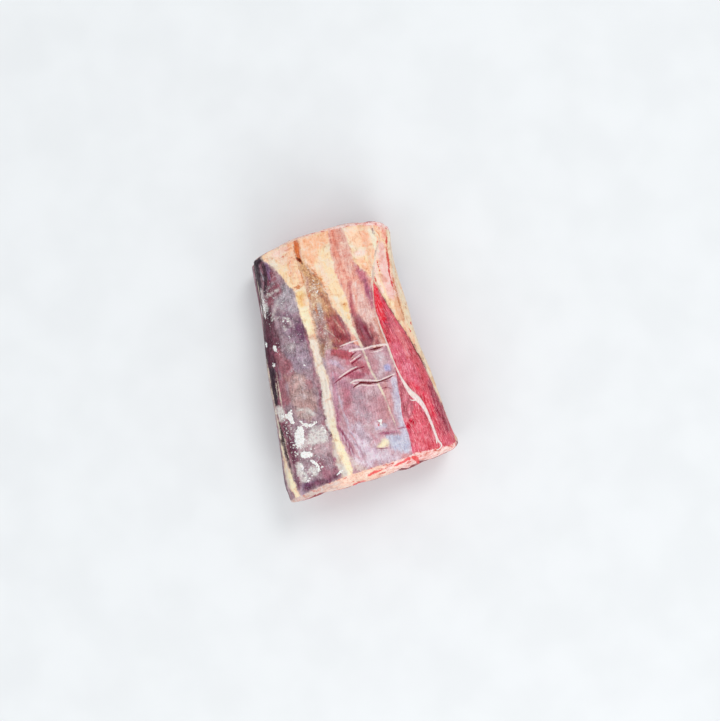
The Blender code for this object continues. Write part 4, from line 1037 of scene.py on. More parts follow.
# ------------------------------------------------------------------ marks on the sides, mm
RIGHT_FAT = (
    area((-104, 44), (-60, 43), (-30, 42), (0, 42), (30, 38), (55, 34), (75, 28), (95, 24), (114, 22),
         (114, 66), (-104, 66)),
    groove_strip(RIGHT_GROOVES[1], (1.0, 1.4, 0.5, 0.2, 0.8, 1.8, 2.6)),
    strip(((-104, 8), (-60, 12), (-25, 18), (8, 22)), (0.4, 0.9, 0.6, 0.2)),
    strip(((-70, 40), (-50, 33), (-28, 26)), (0.9, 0.4, 0.3)),
    strip(((30, 38), (48, 30), (70, 24)), (0.8, 0.5, 0.9)),
    area((70, 0), (82, 7), (96, 11), (114, 10), (114, -4), (70, -4)),
)
RIGHT_RED = (
    area((-106, 27), (-70, 26), (-30, 23), (10, 23), (40, 25), (56, 30), (46, 37), (20, 40), (-30, 45),
         (-106, 47)),
)
LEFT_FAT = (
    groove_strip(LEFT_GROOVES[0], (1.4, 0.5, 0.9, 0.3, 0.6, 1.2, 2.2)),
    groove_strip(LEFT_GROOVES[1], (1.8, 1.2, 0.6, 0.9, 0.5, 1.2, 2.0)),
    strip(((-40, 14), (-10, 24), (20, 36), (34, 44)), (0.2, 0.6, 0.7, 0.3)),
)
UNDER_FAT = (
    strip(((-30, -106), (-24, -50), (-21, 10), (-27, 70), (-32, 104)), (2.6, 1.2, 0.8, 1.8, 3.5)),
    strip(((22, -100), (17, -40), (24, 20), (22, 70), (26, 106)), (1.8, 0.8, 1.0, 2.0, 3.0)),
    strip(((-24, -40), (-4, -10), (18, 10)), (0.3, 0.6, 0.4)),
    area((-60, 84), (-40, 90), (0, 87), (40, 92), (60, 82), (66, 112), (-66, 112)),
    area((30, 20), (44, 30), (50, 60), (42, 70), (32, 50)),
    area((-56, -70), (-44, -64), (-40, -40), (-50, -30), (-58, -50)),
)
UNDER_RED = (
    area((18, -100), (60, -96), (66, -40), (58, 20), (40, 60), (28, 40), (20, -20)),
    area((-18, -60), (10, -50), (12, 0), (-4, 20), (-16, -10)),
)
LEFT_FROST = (
    spot(-46, 30, 6, 3, 10), spot(-30, 36, 3, 2), spot(-62, 22, 4, 2.4, -20), spot(20, 47, 4, 1.0),
    spot(56, 44, 5, 1.2, -4), spot(-84, 40, 3, 2),
)
RIGHT_STROKES = (
    (HAZE_WARM, 0.8, 5, strip(((-70, 12), (-20, 14), (20, 10)), 7)),
    (LILAC_GREY, 0.8, 5, strip(((30, 14), (64, 12), (90, 16)), 8)),
    (MAROON, 0.8, 4, strip(((-50, 4), (-10, 20), (30, 24), (60, 20)), (3, 4, 5, 3))),
    (MAUVE, 0.7, 4, strip(((40, 32), (60, 30), (80, 26)), 5)),
    (PLUM_DARK, 0.8, 4, strip(((-90, 16), (-78, 20), (-66, 18)), 4)),
    (ROSE_MAUVE, 0.6, 4, strip(((-40, 18), (0, 8)), 4)),
)
LEFT_STROKES = (
    (MAROON, 0.9, 4, strip(((-96, 44), (-40, 46), (20, 48), (70, 44)), (4, 5, 5, 6))),
    (HAZE_MID, 0.9, 5, strip(((-80, 28), (-50, 30), (-20, 27)), (6, 8, 5))),
    # dark muscle on the lower left side, darkened as painted shade
    (SHADED_PLUM, 0.8, 4, strip(((-96, 18), (-80, 22), (-66, 18)), (5, 6, 3))),
    (HAZE_LIGHT, 0.8, 5, strip(((-6, 26), (20, 28), (50, 26)), (4, 7, 4))),
    (LILAC_GREY, 0.8, 5, strip(((50, 20), (70, 24), (90, 22)), (5, 7, 6))),
    (ROSE_BROWN, 0.8, 4, strip(((-40, 36), (-10, 38), (30, 34)), (3, 5, 3))),
    (DUSKY_PLUM, 0.8, 4, strip(((-60, 8), (-20, 12), (20, 10), (60, 8)), (4, 6, 5, 4))),
    # upper left side: dark muscle, darkened further as painted shade
    (MAROON_DARK, 0.95, 3, strip(((-108, 50), (-86, 51), (-60, 53), (-30, 54), (10, 54), (50, 51)),
        (9, 8, 7, 7, 7, 7))),
    (SHADED_PLUM, 0.97, 3, strip(((48, 48), (64, 48), (84, 47), (104, 45)), (5, 10, 14, 15))),
)
UNDER_STROKES = (
    (HAZE_MID, 0.8, 6, strip(((-44, -40), (-44, 20), (-42, 60)), 12)),
    (MAUVE, 0.8, 6, strip(((0, 30), (0, 74)), 12)),
    (DUSKY, 0.8, 6, strip(((-40, -92), (0, -84)), 14)),
    (LILAC_MID, 0.6, 6, strip(((52, -20), (50, 20)), 8)),
)
RIM_FAT_WIDE = 13.0
RIM_FAT_NARROW = 8.0
RIM_FAT_SIDE = 2.6
RIM_FAT_FOOT = 2.0
WIDE_SINEWS = (
    spot(-20, 3, 3.4, 1.9, 30), spot(14, 4, 2.6, 3.6, -20), spot(43, -2, 2.4, 3.4, 10),
    spot(-44, -6, 2.2, 1.4),
    strip(((24, 6), (30, 10), (37, 9)), (0.5, 1.0, 0.3)),
    strip(((-34, 16), (-29, 13), (-25, 14)), (0.3, 0.8, 0.3)),
    strip(((-36, -20), (-31, -15), (-28, -17)), (0.3, 0.8, 0.3)),
    spot(0, -20, 3.6, 1.6, 8),
)
NARROW_SINEWS = (
    strip(((-38, 2), (-33, 5), (-29, 5)), (1.2, 2.6, 1.0)),
    strip(((-11, -7), (-9, -2), (-10, 4)), (1.0, 2.6, 1.2)),
    spot(13, 4, 4.4, 2.2, 30),
    strip(((36, -2), (38, 3), (41, 5)), (1.0, 2.4, 0.8)),
    strip(((18, 16), (24, 13), (30, 15)), (0.4, 1.2, 0.3)),
)


# ------------------------------------------------------------------ values stored on the skin
ZONE_BLEND = 3.0
# Places across the unrolled skin of its five lengthwise lines, from the left side to the right.
GRAIN_LEVELS = (-66.0, -23.0, 37.0, 60.0, 72.0)
UNDERSIDE_GRAIN = 40.0
# In millimetres, except the step in tone from one bundle of muscle to the next.
STROKE_WAVER = 0.9
BUNDLE_WAVER = 2.8
TONE_STEP = 0.618
WIDE_RIM_HEIGHT = 70.0
NARROW_RIM_HEIGHT = 60.0
RIM_FAT_WAVER = 1.6


class Skin:
    """Places, zones and stored values of the skin's vertices."""

    def __init__(self, obj):
        self.mesh = obj.data
        self.places = places_of(self.mesh)
        self.normals = normals_of(self.mesh)
        x, y, z = self.places.T
        self.seen = marks_plane(self.places)
        self.grain = self.unrolled()
        self.warp = np.column_stack([wander(self.places, 9.0, 2, shift) for shift in (1.7, 6.3)])
        self.fray = (0.8 * wander(self.grain / np.array((1.0, 7.0, 1.0)), 1.7, 3)
                     + 0.7 * wander(self.places, 4.5, 3))
        beside = np.column_stack((y, z))
        shoulder = np.where(x > 0, SHOULDER_RIGHT, SHOULDER_LEFT) * follow(SOLID_THICKNESS, y)
        shoulder = shoulder + 2.0 * self.fray
        top = smooth(shoulder - ZONE_BLEND, shoulder + ZONE_BLEND, z)
        under = smooth(6.0, 1.0, z)
        side = 1.0 - top - under
        self.zones = {"top": (self.seen, top), "right": (beside, np.where(x > 0, side, 0.0)),
                      "left": (beside, np.where(x > 0, 0.0, side)), "under": (self.places[:, :2], under)}
        self.inward = inside_edges(x, y)
        self.at_wide = y < 0
        self.inset = np.where(self.at_wide, cut_inset(self.places, WIDE_MIDDLE, WIDE_REACH),
                              cut_inset(self.places, NARROW_MIDDLE, NARROW_REACH))
        self.rim = np.where(self.inward > 0, self.inward, -np.maximum(self.inset, 0.0))

    def unrolled(self):
        """The grain: across the muscles, along them, and a third number for the underside."""
        x, y, z = self.places.T
        seen_x, seen_y = self.seen.T
        lines = np.column_stack([
            follow(tuple((v, u) for u, v in reversed(table)), seen_y)
            for table in (LEFT_SIDE, FAT_LINE_ONE, MEMBRANE_EDGE, SHADOW_LINE, RIGHT_SIDE)])
        lines[:, 3] = np.maximum(lines[:, 3], lines[:, 2] + 2.0)
        lines[:, 4] = np.maximum(lines[:, 4], lines[:, 3] + 2.0)
        across = np.array([np.interp(place, line, GRAIN_LEVELS) for place, line in zip(seen_x, lines)])
        drop = np.maximum(follow(SOLID_THICKNESS, y) - z, 0.0)
        across = across + np.sign(x) * drop * smooth(4.0, 22.0, drop)
        low = z < UNDERSIDE_LEVEL
        across = np.where(low, x, across) + 0.9 * wander(self.places, 13.0, 2, 8.8)
        return np.column_stack((across, y, np.where(low, UNDERSIDE_GRAIN, 0.0)))

    def depth(self, **shapes):
        """Depth in the shapes given for each zone, blended where the zones meet."""
        found = np.zeros(len(self.places))
        for zone, (places, weight) in self.zones.items():
            here = weight > 0.0
            found[here] += weight[here] * depth(places[here], shapes.get(zone, ()))
        return found

    def field(self, blots):
        """Soft blots on the top."""
        places, weight = self.zones["top"]
        return field(places, blots) * weight

    def paint(self, ground, **strokes):
        """A layer of colour: the ground, and the strokes of each zone laid on it in turn."""
        colour = ground.copy()
        for zone, listed in strokes.items():
            places, weight = self.zones[zone]
            here = weight > 0.0
            moved = places[here] + STROKE_WAVER * self.warp[here]
            for tint, strength, soft, shape in listed:
                inside = depth(moved, (shape,)) + soft * self.fray[here]
                share = (strength * weight[here] * smooth(-soft, soft, inside))[:, None]
                colour[here] += share * (np.array(linear(tint)[:3]) - colour[here])
        return colour

    def ground(self, tints, size):
        """Clouds of a few colours, drawn out along the muscle."""
        cloud = wander(self.grain / np.array((1.0, 2.6, 1.0)), size, 3, 2.4) + 0.3 * self.fray
        share = np.clip(0.5 + 0.75 * cloud, 0.0, 1.0)[:, None] * (len(tints) - 1)
        colour = np.zeros((len(share), 3))
        for index, tint in enumerate(tints):
            colour += np.clip(1.0 - np.abs(share - index), 0.0, 1.0) * np.array(linear(tint)[:3])
        return colour

    def bundles(self):
        """Gap to the seam between bundles, and a tone for each bundle, on the cuts."""
        gap, tone = np.zeros(len(self.places)), np.zeros(len(self.places))
        warp = np.column_stack([wander(self.places, 14.0, 3, shift) for shift in (5.1, 9.7)])
        warp = BUNDLE_WAVER * warp
        for wide, bundles, middle in ((True, WIDE_BUNDLES, WIDE_MIDDLE),
                                      (False, NARROW_BUNDLES, NARROW_MIDDLE)):
            here = self.at_wide == wide
            offset = self.places[here][:, (0, 2)] - middle + warp[here]
            away = np.array([np.hypot(offset[:, 0] - x, BUNDLE_FLATNESS * (offset[:, 1] - z))
                             for x, z in bundles])
            order = np.argsort(away, axis=0)
            nearest = np.take_along_axis(away, order[:2], axis=0)
            gap[here] = nearest[1] - nearest[0]
            tone[here] = (order[0] * TONE_STEP + 0.31 * wide) % 1.0
        return gap, tone

    def sinews(self):
        """Depth in the sinews of the cuts."""
        found = np.full(len(self.places), FAR)
        for wide, sinews, middle in ((True, WIDE_SINEWS, WIDE_MIDDLE),
                                     (False, NARROW_SINEWS, NARROW_MIDDLE)):
            here = self.at_wide == wide
            found[here] = depth(self.places[here][:, (0, 2)] - middle + self.warp[here], sinews)
        return found

    def rim_fat(self):
        """How deep the cut lies in the rim of fat."""
        z = self.places[:, 2]
        height = np.where(self.at_wide, WIDE_RIM_HEIGHT, NARROW_RIM_HEIGHT)
        thickness = RIM_FAT_FOOT + (RIM_FAT_SIDE - RIM_FAT_FOOT) * smooth(2.0, 20.0, z)
        top = np.where(self.at_wide, RIM_FAT_WIDE, RIM_FAT_NARROW)
        thickness += (top - RIM_FAT_SIDE) * smooth(height - 26.0, height - 10.0, z)
        thickness += RIM_FAT_WAVER * wander(self.places, 14.0, 3, 3.3)
        return thickness - np.maximum(self.inset, 0.0)

    def grit(self):
        """Strength of the fine light and dark grain: more on the left and towards the narrow end."""
        x, y = self.seen.T
        return 0.33 + 0.05 * smooth(2.0, 14.0, y) + 0.1 * smooth(-14.0, -26.0, x)

    def store(self, name, values):
        """Keeps a number or a vector for each vertex, under a name that the materials read."""
        values = np.asarray(values, np.float32)
        kind, content = ("FLOAT", "value") if values.ndim == 1 else ("FLOAT_VECTOR", "vector")
        self.mesh.attributes.new(name, kind, "POINT").data.foreach_set(content, values.ravel())


def shape_values(skin):
    """All stored values that are distances or soft fields."""
    values = {
        "fat": skin.depth(top=FAT, right=RIGHT_FAT, left=LEFT_FAT, under=UNDER_FAT),
        "bare": skin.depth(top=(BARE_MUSCLE,), right=RIGHT_RED, under=UNDER_RED),
        "frost": skin.depth(top=FROST, left=LEFT_FROST),
        "shadow": skin.depth(top=(strip(SHADOW_LINE, SHADOW_WIDTHS),)),
        "fleck": skin.field(FLECKS),
        "crackle": skin.field(CRACKLE),
        "capillary": skin.field(CAPILLARIES),
        "film": skin.field(FILM) + 0.3 * (1.0 - skin.zones["top"][1]),
        "grit": skin.grit(),
        "sinew": skin.sinews(),
        "rim_fat": skin.rim_fat(),
        "rim": skin.rim,
    }
    for name, shapes in (("thread", THREADS), ("rust", RUST), ("stain", STAIN), ("blood", BLOOD),
                         ("slit", SLITS), ("crease", CREASES), ("ridge", RIDGES), ("powder", POWDER)):
        values[name] = skin.depth(top=shapes)
    values["gap"], values["tone"] = skin.bundles()
    return values


def painted_layers(skin):
    """The colours of the meat under its membrane, of the bare muscle and of the fat."""
    meat = skin.ground((MAROON_DARK, MAROON, DUSKY_PLUM, DUSKY, LILAC_GREY), 15.0)
    red = skin.ground((WINE, RED_MUSCLE, RED_MUSCLE, RED_ROSE), 12.0)
    fat = skin.ground((PEACH, PEACH_CREAM, CREAM_PEACH, CREAM), 13.0)
    return {
        "meat_colour": skin.paint(meat, top=MEAT_STROKES, right=RIGHT_STROKES, left=LEFT_STROKES,
                                  under=UNDER_STROKES),
        "red_colour": skin.paint(red, top=RED_STROKES),
        "fat_colour": skin.paint(fat, top=FAT_STROKES),
    }


# Relief in millimetres: (stored value, rise, border outside the shape, border inside it).
ROUND_RELIEF = (("fat", 0.4, -0.8, 2.2), ("thread", 0.3, -0.6, 0.6))
TOP_RELIEF = (("slit", -1.7, -0.5, 0.8), ("crease", -0.9, -0.5, 0.7), ("ridge", 0.55, -0.7, 0.7))
RAGGED_CORNER = (72.0, -93.0)
RAGGED_RISE = 2.6
RAGGED_REACH = 7.0


def relief(skin, values):
    """Fine relief of the skin, in millimetres along its normals."""
    up = smooth(0.1, 0.45, skin.normals[:, 2]) * skin.zones["top"][1]
    outside = smooth(0.0, 2.0, skin.inward)
    fibres = wander(skin.grain / np.array((1.0, 9.0, 1.0)), 2.2, 3)
    height = 0.14 * wander(skin.places, 5.0, 3, 2.0) + 0.06 * wander(skin.places, 1.6, 2, 7.0)
    height += 0.12 * fibres * outside
    for name, rise, low, high in ROUND_RELIEF:
        height += rise * smooth(low, high, values[name]) * outside
    for name, rise, low, high in TOP_RELIEF:
        height += up * rise * smooth(low, high, values[name])
    height -= up * 1.3 * smooth(-0.9, 0.5, values["shadow"]) * outside
    frost_edge = values["frost"] + 0.5 * wander(skin.places, 2.4, 2, 4.0)
    height += 0.35 * smooth(-0.3, 0.5, frost_edge)
    lip = beside_route(skin.seen, MEMBRANE_EDGE)
    torn = up * smooth(56.0, 44.0, skin.seen[:, 1])
    height += torn * 0.35 * bell((lip + 0.9) / 0.8)
    cut = smooth(0.0, 2.0, -skin.inward)
    height += cut * 0.25 * wander(skin.places, 2.6, 2, 1.0)
    height -= cut * 0.5 * smooth(2.4, 0.0, values["gap"])
    height += cut * 0.3 * smooth(-0.4, 0.9, values["sinew"])
    from_corner = np.linalg.norm(skin.places[:, :2] - RAGGED_CORNER, axis=1)
    height += RAGGED_RISE * bell(from_corner / RAGGED_REACH)
    return height * smooth(0.0, 3.0, skin.places[:, 2])


# ------------------------------------------------------------------ materials
class Nodes:
    """The nodes of one tree, added with short calls."""

    def __init__(self, tree):
        self.tree = tree

    def feed(self, socket, value):
        if isinstance(value, bpy.types.NodeSocket):
            self.tree.links.new(value, socket)
        elif isinstance(value, tuple) and socket.type == "RGBA" and len(value) == 3:
            socket.default_value = linear(value)
        else:
            socket.default_value = value

    def add(self, kind, feeds=(), **settings):
        node = self.tree.nodes.new(kind)
        for name, value in settings.items():
            setattr(node, name, value)
        for name, value in dict(feeds).items():
            self.feed(node.inputs[name], value)
        return node

    def math(self, operation, first, second=0.0, clamp=False):
        return self.add("ShaderNodeMath", {0: first, 1: second}, operation=operation,
                        use_clamp=clamp).outputs[0]

    def sum(self, *values):
        total = values[0]
        for value in values[1:]:
            total = self.math("ADD", total, value)
        return total

    def times(self, first, second):
        return self.math("MULTIPLY", first, second)

    def vector(self, operation, first, second):
        return self.add("ShaderNodeVectorMath", {0: first, 1: second}, operation=operation).outputs[0]

    def combine(self, x, y, z):
        return self.add("ShaderNodeCombineXYZ", {0: x, 1: y, 2: z}).outputs[0]

    def ramp(self, value, low, high, start=0.0, end=1.0):
        """Smooth step of a value from low to high."""
        return self.add("ShaderNodeMapRange", {"Value": value, "From Min": low, "From Max": high,
                                               "To Min": start, "To Max": end},
                        interpolation_type="SMOOTHSTEP").outputs["Result"]

    def noise(self, place, size, detail=2.0, roughness=0.5, distortion=0.0):
        """Noise with features of a size, in the units of its place."""
        return self.add("ShaderNodeTexNoise", {"Vector": place, "Scale": 1.0 / size, "Detail": detail,
                                               "Roughness": roughness, "Distortion": distortion}
                        ).outputs["Fac"]

    def off_middle(self, *noise):
        """How far a noise is from its middle value: near zero along thin wavy lines."""
        return self.math("ABSOLUTE", self.math("SUBTRACT", self.noise(*noise), 0.5))

    def moved(self, start, place, scale, reach):
        """A start moved about by noise at a place, as far as the reach along each axis."""
        drift = self.add("ShaderNodeTexNoise", {"Vector": place, "Scale": scale, "Detail": 2.0})
        return self.vector("ADD", start, self.vector("MULTIPLY", drift.outputs["Color"], reach))

    def cell_border(self, place, scale):
        """Distance to the nearest border between random cells."""
        return self.add("ShaderNodeTexVoronoi", {"Vector": place, "Scale": scale, "Randomness": 1.0},
                        feature="DISTANCE_TO_EDGE").outputs["Distance"]

    def axis(self, place, name):
        return self.add("ShaderNodeSeparateXYZ", {0: place}).outputs[name]

    def mix(self, share, first, second, blend="MIX"):
        node = self.tree.nodes.new("ShaderNodeMix")
        node.data_type = "RGBA"
        node.blend_type = blend
        self.feed(node.inputs[0], share)
        self.feed(node.inputs[6], first)
        self.feed(node.inputs[7], second)
        return node.outputs[2]

    def value(self, name):
        """A value stored on the skin."""
        return self.add("ShaderNodeAttribute", attribute_name=name).outputs["Fac"]

    def stored_vector(self, name):
        return self.add("ShaderNodeAttribute", attribute_name=name).outputs["Vector"]

    def stored_colour(self, name):
        return self.add("ShaderNodeAttribute", attribute_name=name).outputs["Color"]

    def place(self):
        """Object coordinates in millimetres."""
        node = self.add("ShaderNodeTexCoord")
        return self.vector("MULTIPLY", node.outputs["Object"], (1.0 / MM,) * 3)

    def group(self, name, **feeds):
        """A copy of a shared group, fed by name; gives its outputs."""
        node = self.tree.nodes.new("ShaderNodeGroup")
        node.node_tree = bpy.data.node_groups[name]
        for key, value in feeds.items():
            self.feed(node.inputs[key], value)
        return node.outputs


PLACE = ("Place", "Vector", None)
GRAIN = ("Grain", "Vector", None)
LAYER = [("Result", "Color"), ("Height", "Float")]


def new_group(name, inputs, outputs):
    """An empty shared group; gives its nodes, its entry and a call that sets its outputs."""
    tree = bpy.data.node_groups.new(name, "ShaderNodeTree")
    for label, kind, value in inputs:
        socket = tree.interface.new_socket(label, in_out="INPUT", socket_type="NodeSocket" + kind)
        if value is not None:
            socket.default_value = linear(value) if kind == "Color" else value
    for label, kind in outputs:
        tree.interface.new_socket(label, in_out="OUTPUT", socket_type="NodeSocket" + kind)
    nodes = Nodes(tree)
    entry = tree.nodes.new("NodeGroupInput").outputs
    leave = tree.nodes.new("NodeGroupOutput").inputs

    def give(**results):
        for label, socket in results.items():
            nodes.feed(leave[label], socket)
    return nodes, entry, give


def ragged_edge_group():
    """Noise that frays the borders between finishes, about -1 to 1."""
    n, entry, give = new_group("Ragged Edge", [PLACE], [("Coarse", "Float"), ("Fine", "Float")])
    coarse = n.noise(entry["Place"], 5.5, 2.0, 0.55)
    fine = n.noise(entry["Place"], 1.3, 1.0, 0.5)
    give(Coarse=n.ramp(coarse, 0.28, 0.72, -1.0, 1.0), Fine=n.ramp(fine, 0.28, 0.72, -1.0, 1.0))


def streaks_group():
    """Streaks drawn out along the muscle."""
    n, entry, give = new_group(
        "Fibre Streaks", [GRAIN, ("Width", "Float", 1.0), ("Length", "Float", 12.0),
                          ("Crispness", "Float", 0.5)], [("Value", "Float")])
    size = n.combine(entry["Width"], entry["Length"], entry["Width"])
    drawn = n.vector("DIVIDE", entry["Grain"], size)
    raw = n.noise(drawn, 1.0, 3.0, 0.6, 0.5)
    reach = n.math("SUBTRACT", 0.32, n.times(entry["Crispness"], 0.24))
    give(Value=n.ramp(raw, n.math("SUBTRACT", 0.5, reach), n.math("ADD", 0.5, reach)))


def lines_group():
    """Thin wavy lines drawn out along the muscle."""
    n, entry, give = new_group(
        "Fine Lines", [GRAIN, ("Width", "Float", 1.6), ("Length", "Float", 10.0),
                       ("Thickness", "Float", 0.04)], [("Value", "Float")])
    size = n.combine(entry["Width"], entry["Length"], entry["Width"])
    drawn = n.vector("DIVIDE", entry["Grain"], size)
    away = n.off_middle(drawn, 1.0, 2.0, 0.6, 0.7)
    give(Value=n.ramp(away, entry["Thickness"], n.times(entry["Thickness"], 0.2)))


def contrast_group():
    """Lighter and darker grain in a colour, in proportion to the colour itself."""
    n, entry, give = new_group(
        "Grainy Contrast", [PLACE, GRAIN, ("Colour", "Color", MAUVE), ("Streaks", "Float", 0.5),
                            ("Strength", "Float", 0.5)], LAYER)
    broad = n.math("SUBTRACT", n.noise(entry["Place"], 5.0, 3.0, 0.55, 0.8), 0.5)
    drawn = n.noise(n.vector("DIVIDE", entry["Grain"], (1.3, 12.0, 1.3)), 1.0, 4.0, 0.62, 0.4)
    drawn = n.math("SUBTRACT", drawn, 0.5)
    small = n.math("SUBTRACT", n.noise(entry["Place"], 1.2, 2.0, 0.65), 0.5)
    light = n.sum(n.times(broad, 1.9), n.times(drawn, n.times(entry["Streaks"], 1.8)),
                  n.times(small, 1.5))
    grey = n.math("ADD", 0.5, n.times(light, entry["Strength"]), clamp=True)
    give(Result=n.mix(1.0, entry["Colour"], grey, "OVERLAY"), Height=light)


def crackle_group():
    """Pale crumbs with brown lines between them, over a painted colour."""
    n, entry, give = new_group(
        "Crumbly Crackle", [PLACE, ("Colour", "Color", BROWN_GROUND), ("Strength", "Float", 0.5)], LAYER)
    gap = n.cell_border(n.moved(entry["Place"], entry["Place"], 0.45, (2.6, 2.6, 2.6)), 0.42)
    patch = n.noise(entry["Place"], 3.0, 3.0, 0.6)
    crumb = n.times(n.ramp(gap, 0.16, 0.34), n.ramp(patch, 0.44, 0.6))
    colour = n.mix(n.times(crumb, n.times(entry["Strength"], 0.9)), entry["Colour"], IVORY)
    line = n.times(n.ramp(gap, 0.14, 0.03), n.ramp(patch, 0.36, 0.5, 0.2, 1.0))
    colour = n.mix(n.times(line, n.times(entry["Strength"], 0.75)), colour, BROWN_SPECK)
    give(Result=colour, Height=n.times(n.sum(crumb, n.times(line, -0.6)), entry["Strength"]))


def fibres_group():
    """Muscle fibres over a painted colour: dark gaps, and pale threads of fine fat."""
    n, entry, give = new_group(
        "Muscle Fibres", [PLACE, GRAIN, ("Colour", "Color", RED_MUSCLE), ("Pale", "Color", RED_PALE),
                          ("Deepness", "Float", 0.5), ("Paleness", "Float", 0.5)], LAYER)
    cloud = n.noise(entry["Place"], 7.0, 3.0, 0.6)
    fibre = n.group("Fibre Streaks", Grain=entry["Grain"], Width=0.9, Length=15.0,
                    Crispness=0.55)["Value"]
    gaps = n.group("Fine Lines", Grain=entry["Grain"], Width=2.0, Length=24.0, Thickness=0.06)["Value"]
    threads = n.group("Fine Lines", Grain=n.vector("ADD", entry["Grain"], (37.0, 11.0, 5.0)), Width=2.0,
                      Length=20.0, Thickness=0.05)["Value"]
    fine = n.group("Fine Lines", Grain=n.vector("ADD", entry["Grain"], (11.0, 47.0, 9.0)), Width=1.1,
                   Length=11.0, Thickness=0.05)["Value"]
    dark = n.sum(n.times(n.ramp(fibre, 0.5, 0.0), 0.5),
                 n.times(gaps, n.ramp(cloud, 0.62, 0.42, 0.0, 0.6)))
    colour = n.mix(n.times(dark, entry["Deepness"]), entry["Colour"], DEEP_TINT, "MULTIPLY")
    pale = n.sum(n.times(threads, n.ramp(cloud, 0.38, 0.54, 0.15, 1.0)),
                 n.times(fine, n.ramp(cloud, 0.62, 0.46, 0.1, 0.6)),
                 n.times(n.ramp(fibre, 0.62, 1.0), 0.3))
    colour = n.mix(n.times(pale, entry["Paleness"]), colour, entry["Pale"])
    give(Result=colour, Height=n.sum(n.times(fibre, 0.4), n.times(pale, 0.4), n.times(gaps, -0.4)))


def film_group():
    """Patches and creases of a thin pale membrane over a painted colour."""
    n, entry, give = new_group(
        "Membrane Film", [PLACE, GRAIN, ("Colour", "Color", MAUVE), ("Strength", "Float", 0.5)], LAYER)
    cloud = n.noise(entry["Place"], 7.0, 5.0, 0.7, 1.0)
    haze = n.ramp(cloud, 0.48, 0.7)
    colour = n.mix(n.times(haze, n.times(entry["Strength"], 0.7)), entry["Colour"], FILM_WHITE)
    vein = n.off_middle(entry["Place"], 8.0, 4.0, 0.66, 1.6)
    drawn = n.group("Fine Lines", Grain=entry["Grain"], Width=3.2, Length=22.0, Thickness=0.03)["Value"]
    line = n.sum(n.times(n.ramp(vein, 0.014, 0.003), n.ramp(cloud, 0.5, 0.62)),
                 n.times(drawn, n.ramp(cloud, 0.42, 0.6, 0.0, 0.7)))
    colour = n.mix(n.times(line, entry["Strength"]), colour, FILM_WHITE)
    give(Result=colour, Height=n.sum(n.times(haze, 0.3), n.times(line, 0.4)))


def fat_group():
    """Fat over a painted colour: soft lobes, warm stains, threads and fine red capillaries."""
    n, entry, give = new_group(
        "Fat Body", [PLACE, GRAIN, ("Colour", "Color", CREAM), ("Capillaries", "Float", 0.0)], LAYER)
    cloud = n.noise(entry["Place"], 6.5, 3.0, 0.58, 0.8)
    lobes = n.add("ShaderNodeTexVoronoi", {"Vector": entry["Place"], "Scale": 0.42, "Randomness": 0.95},
                  feature="SMOOTH_F1").outputs["Distance"]
    threads = n.group("Fine Lines", Grain=entry["Grain"], Width=2.4, Length=18.0,
                      Thickness=0.04)["Value"]
    pale = n.group("Fibre Streaks", Grain=entry["Grain"], Width=1.1, Length=12.0, Crispness=0.3)["Value"]
    colour = n.mix(n.times(n.ramp(cloud, 0.48, 0.32), 0.5), entry["Colour"], WARM_TINT, "MULTIPLY")
    colour = n.mix(n.times(n.ramp(cloud, 0.5, 0.68), 0.5), colour, IVORY)
    colour = n.mix(n.times(threads, n.ramp(cloud, 0.6, 0.4, 0.0, 0.4)), colour, WARM_TINT, "MULTIPLY")
    colour = n.mix(n.times(n.ramp(pale, 0.5, 1.0), 0.25), colour, IVORY)
    pit = n.noise(entry["Place"], 1.8, 2.0, 0.6)
    colour = n.mix(n.times(n.ramp(pit, 0.63, 0.72), 0.4), colour, WARM_TINT, "MULTIPLY")
    red = n.group("Fine Lines", Grain=n.vector("MULTIPLY", entry["Place"], (1.0, 0.6, 1.0)), Width=3.6,
                  Length=5.0, Thickness=0.035)["Value"]
    red = n.sum(n.times(red, n.ramp(cloud, 0.4, 0.56)), n.times(n.ramp(cloud, 0.44, 0.34), 0.6))
    colour = n.mix(n.times(red, entry["Capillaries"]), colour, CORAL)
    give(Result=colour, Height=n.sum(n.times(n.ramp(lobes, 0.9, 0.2), 0.5), n.times(threads, -0.3),
                                     n.times(cloud, 0.5)))


def wet_group():
    """Roughness of a moist surface with drier patches."""
    n, entry, give = new_group("Wet Film", [PLACE, ("Wet", "Float", 0.3), ("Dry", "Float", 0.55)],
                               [("Roughness", "Float")])
    patch = n.noise(entry["Place"], 12.0, 3.0, 0.6)
    give(Roughness=n.ramp(patch, 0.38, 0.62, entry["Wet"], entry["Dry"]))


def build_groups():
    """Makes the shared groups, those that others use first."""
    for make in (ragged_edge_group, streaks_group, lines_group, contrast_group, crackle_group,
                 fibres_group, film_group, fat_group, wet_group):
        make()


